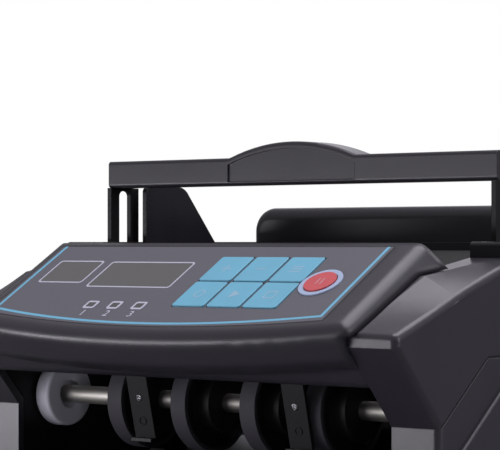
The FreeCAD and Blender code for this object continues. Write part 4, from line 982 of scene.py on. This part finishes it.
def set_soft_boxes(scene, sizes):
    """The soft boxes, each facing its point and hidden from the camera."""
    for name, (spot, aim, width, height) in SOFT_BOXES.items():
        data = bpy.data.lights.new(name, "AREA")
        data.shape = "RECTANGLE"
        data.size = width
        data.size_y = height
        data.energy = getattr(sizes, name)
        data.color = linear(sizes.tint)[:3]
        item = bpy.data.objects.new(name, data)
        item.location = spot
        item.rotation_euler = (Vector(aim) - Vector(spot)).to_track_quat("-Z", "Y").to_euler()
        item.visible_camera = False
        scene.collection.objects.link(item)


def set_camera(scene, sizes):
    """A level camera, turned to the machine's right."""
    data = bpy.data.cameras.new("camera")
    data.lens = sizes.camera_lens
    data.shift_y = sizes.camera_shift
    data.clip_start = CLIP_START
    item = bpy.data.objects.new("camera", data)
    item.location = (sizes.camera_x, sizes.camera_y, sizes.camera_z)
    item.rotation_euler = (math.pi / 2, 0.0, sizes.camera_turn)
    scene.collection.objects.link(item)
    scene.camera = item
    scene.view_settings.view_transform = "Standard"


class COUNTER_OT_stage(bpy.types.Operator):
    """Set the pale floor, the room's light, the soft boxes and the camera."""

    bl_idname = "counter.stage"
    bl_label = "Set the stage"

    def execute(self, context):
        for step in (set_floor, light_room, set_soft_boxes, set_camera):
            step(context.scene, settings().stage)
        return {"FINISHED"}


class COUNTER_PT_looks(bpy.types.Panel):
    """The looks' operators, in the order in which they are used."""

    bl_idname = "COUNTER_PT_looks"
    bl_label = "Banknote counter"
    bl_space_type = "VIEW_3D"
    bl_region_type = "UI"
    bl_category = "Counter"

    def draw(self, context):
        for operator in OPERATORS:
            self.layout.operator(operator.bl_idname)


GROUPS = (PrintSizes, ScrewSizes, FinishColours, StageSizes, CounterLooks)
OPERATORS = (
    COUNTER_OT_finishes, COUNTER_OT_casing, COUNTER_OT_panel, COUNTER_OT_drive, COUNTER_OT_electrics,
    COUNTER_OT_stripe, COUNTER_OT_rim, COUNTER_OT_lines, COUNTER_OT_symbols, COUNTER_OT_screws,
    COUNTER_OT_stage,
)
CLASSES = GROUPS + OPERATORS + (COUNTER_PT_looks,)


def register():
    for item in CLASSES:
        bpy.utils.register_class(item)
    bpy.types.Scene.counter_looks = PointerProperty(type=CounterLooks)


def unregister():
    del bpy.types.Scene.counter_looks
    for item in reversed(CLASSES):
        bpy.utils.unregister_class(item)


def main():
    """Register the add-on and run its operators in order."""
    register()
    bpy.ops.counter.finishes()
    bpy.ops.counter.casing()
    bpy.ops.counter.panel()
    bpy.ops.counter.drive()
    bpy.ops.counter.electrics()
    bpy.ops.counter.stripe()
    bpy.ops.counter.rim()
    bpy.ops.counter.lines()
    bpy.ops.counter.symbols()
    bpy.ops.counter.screws()
    bpy.ops.counter.stage()


if __name__ == "__main__":
    main()
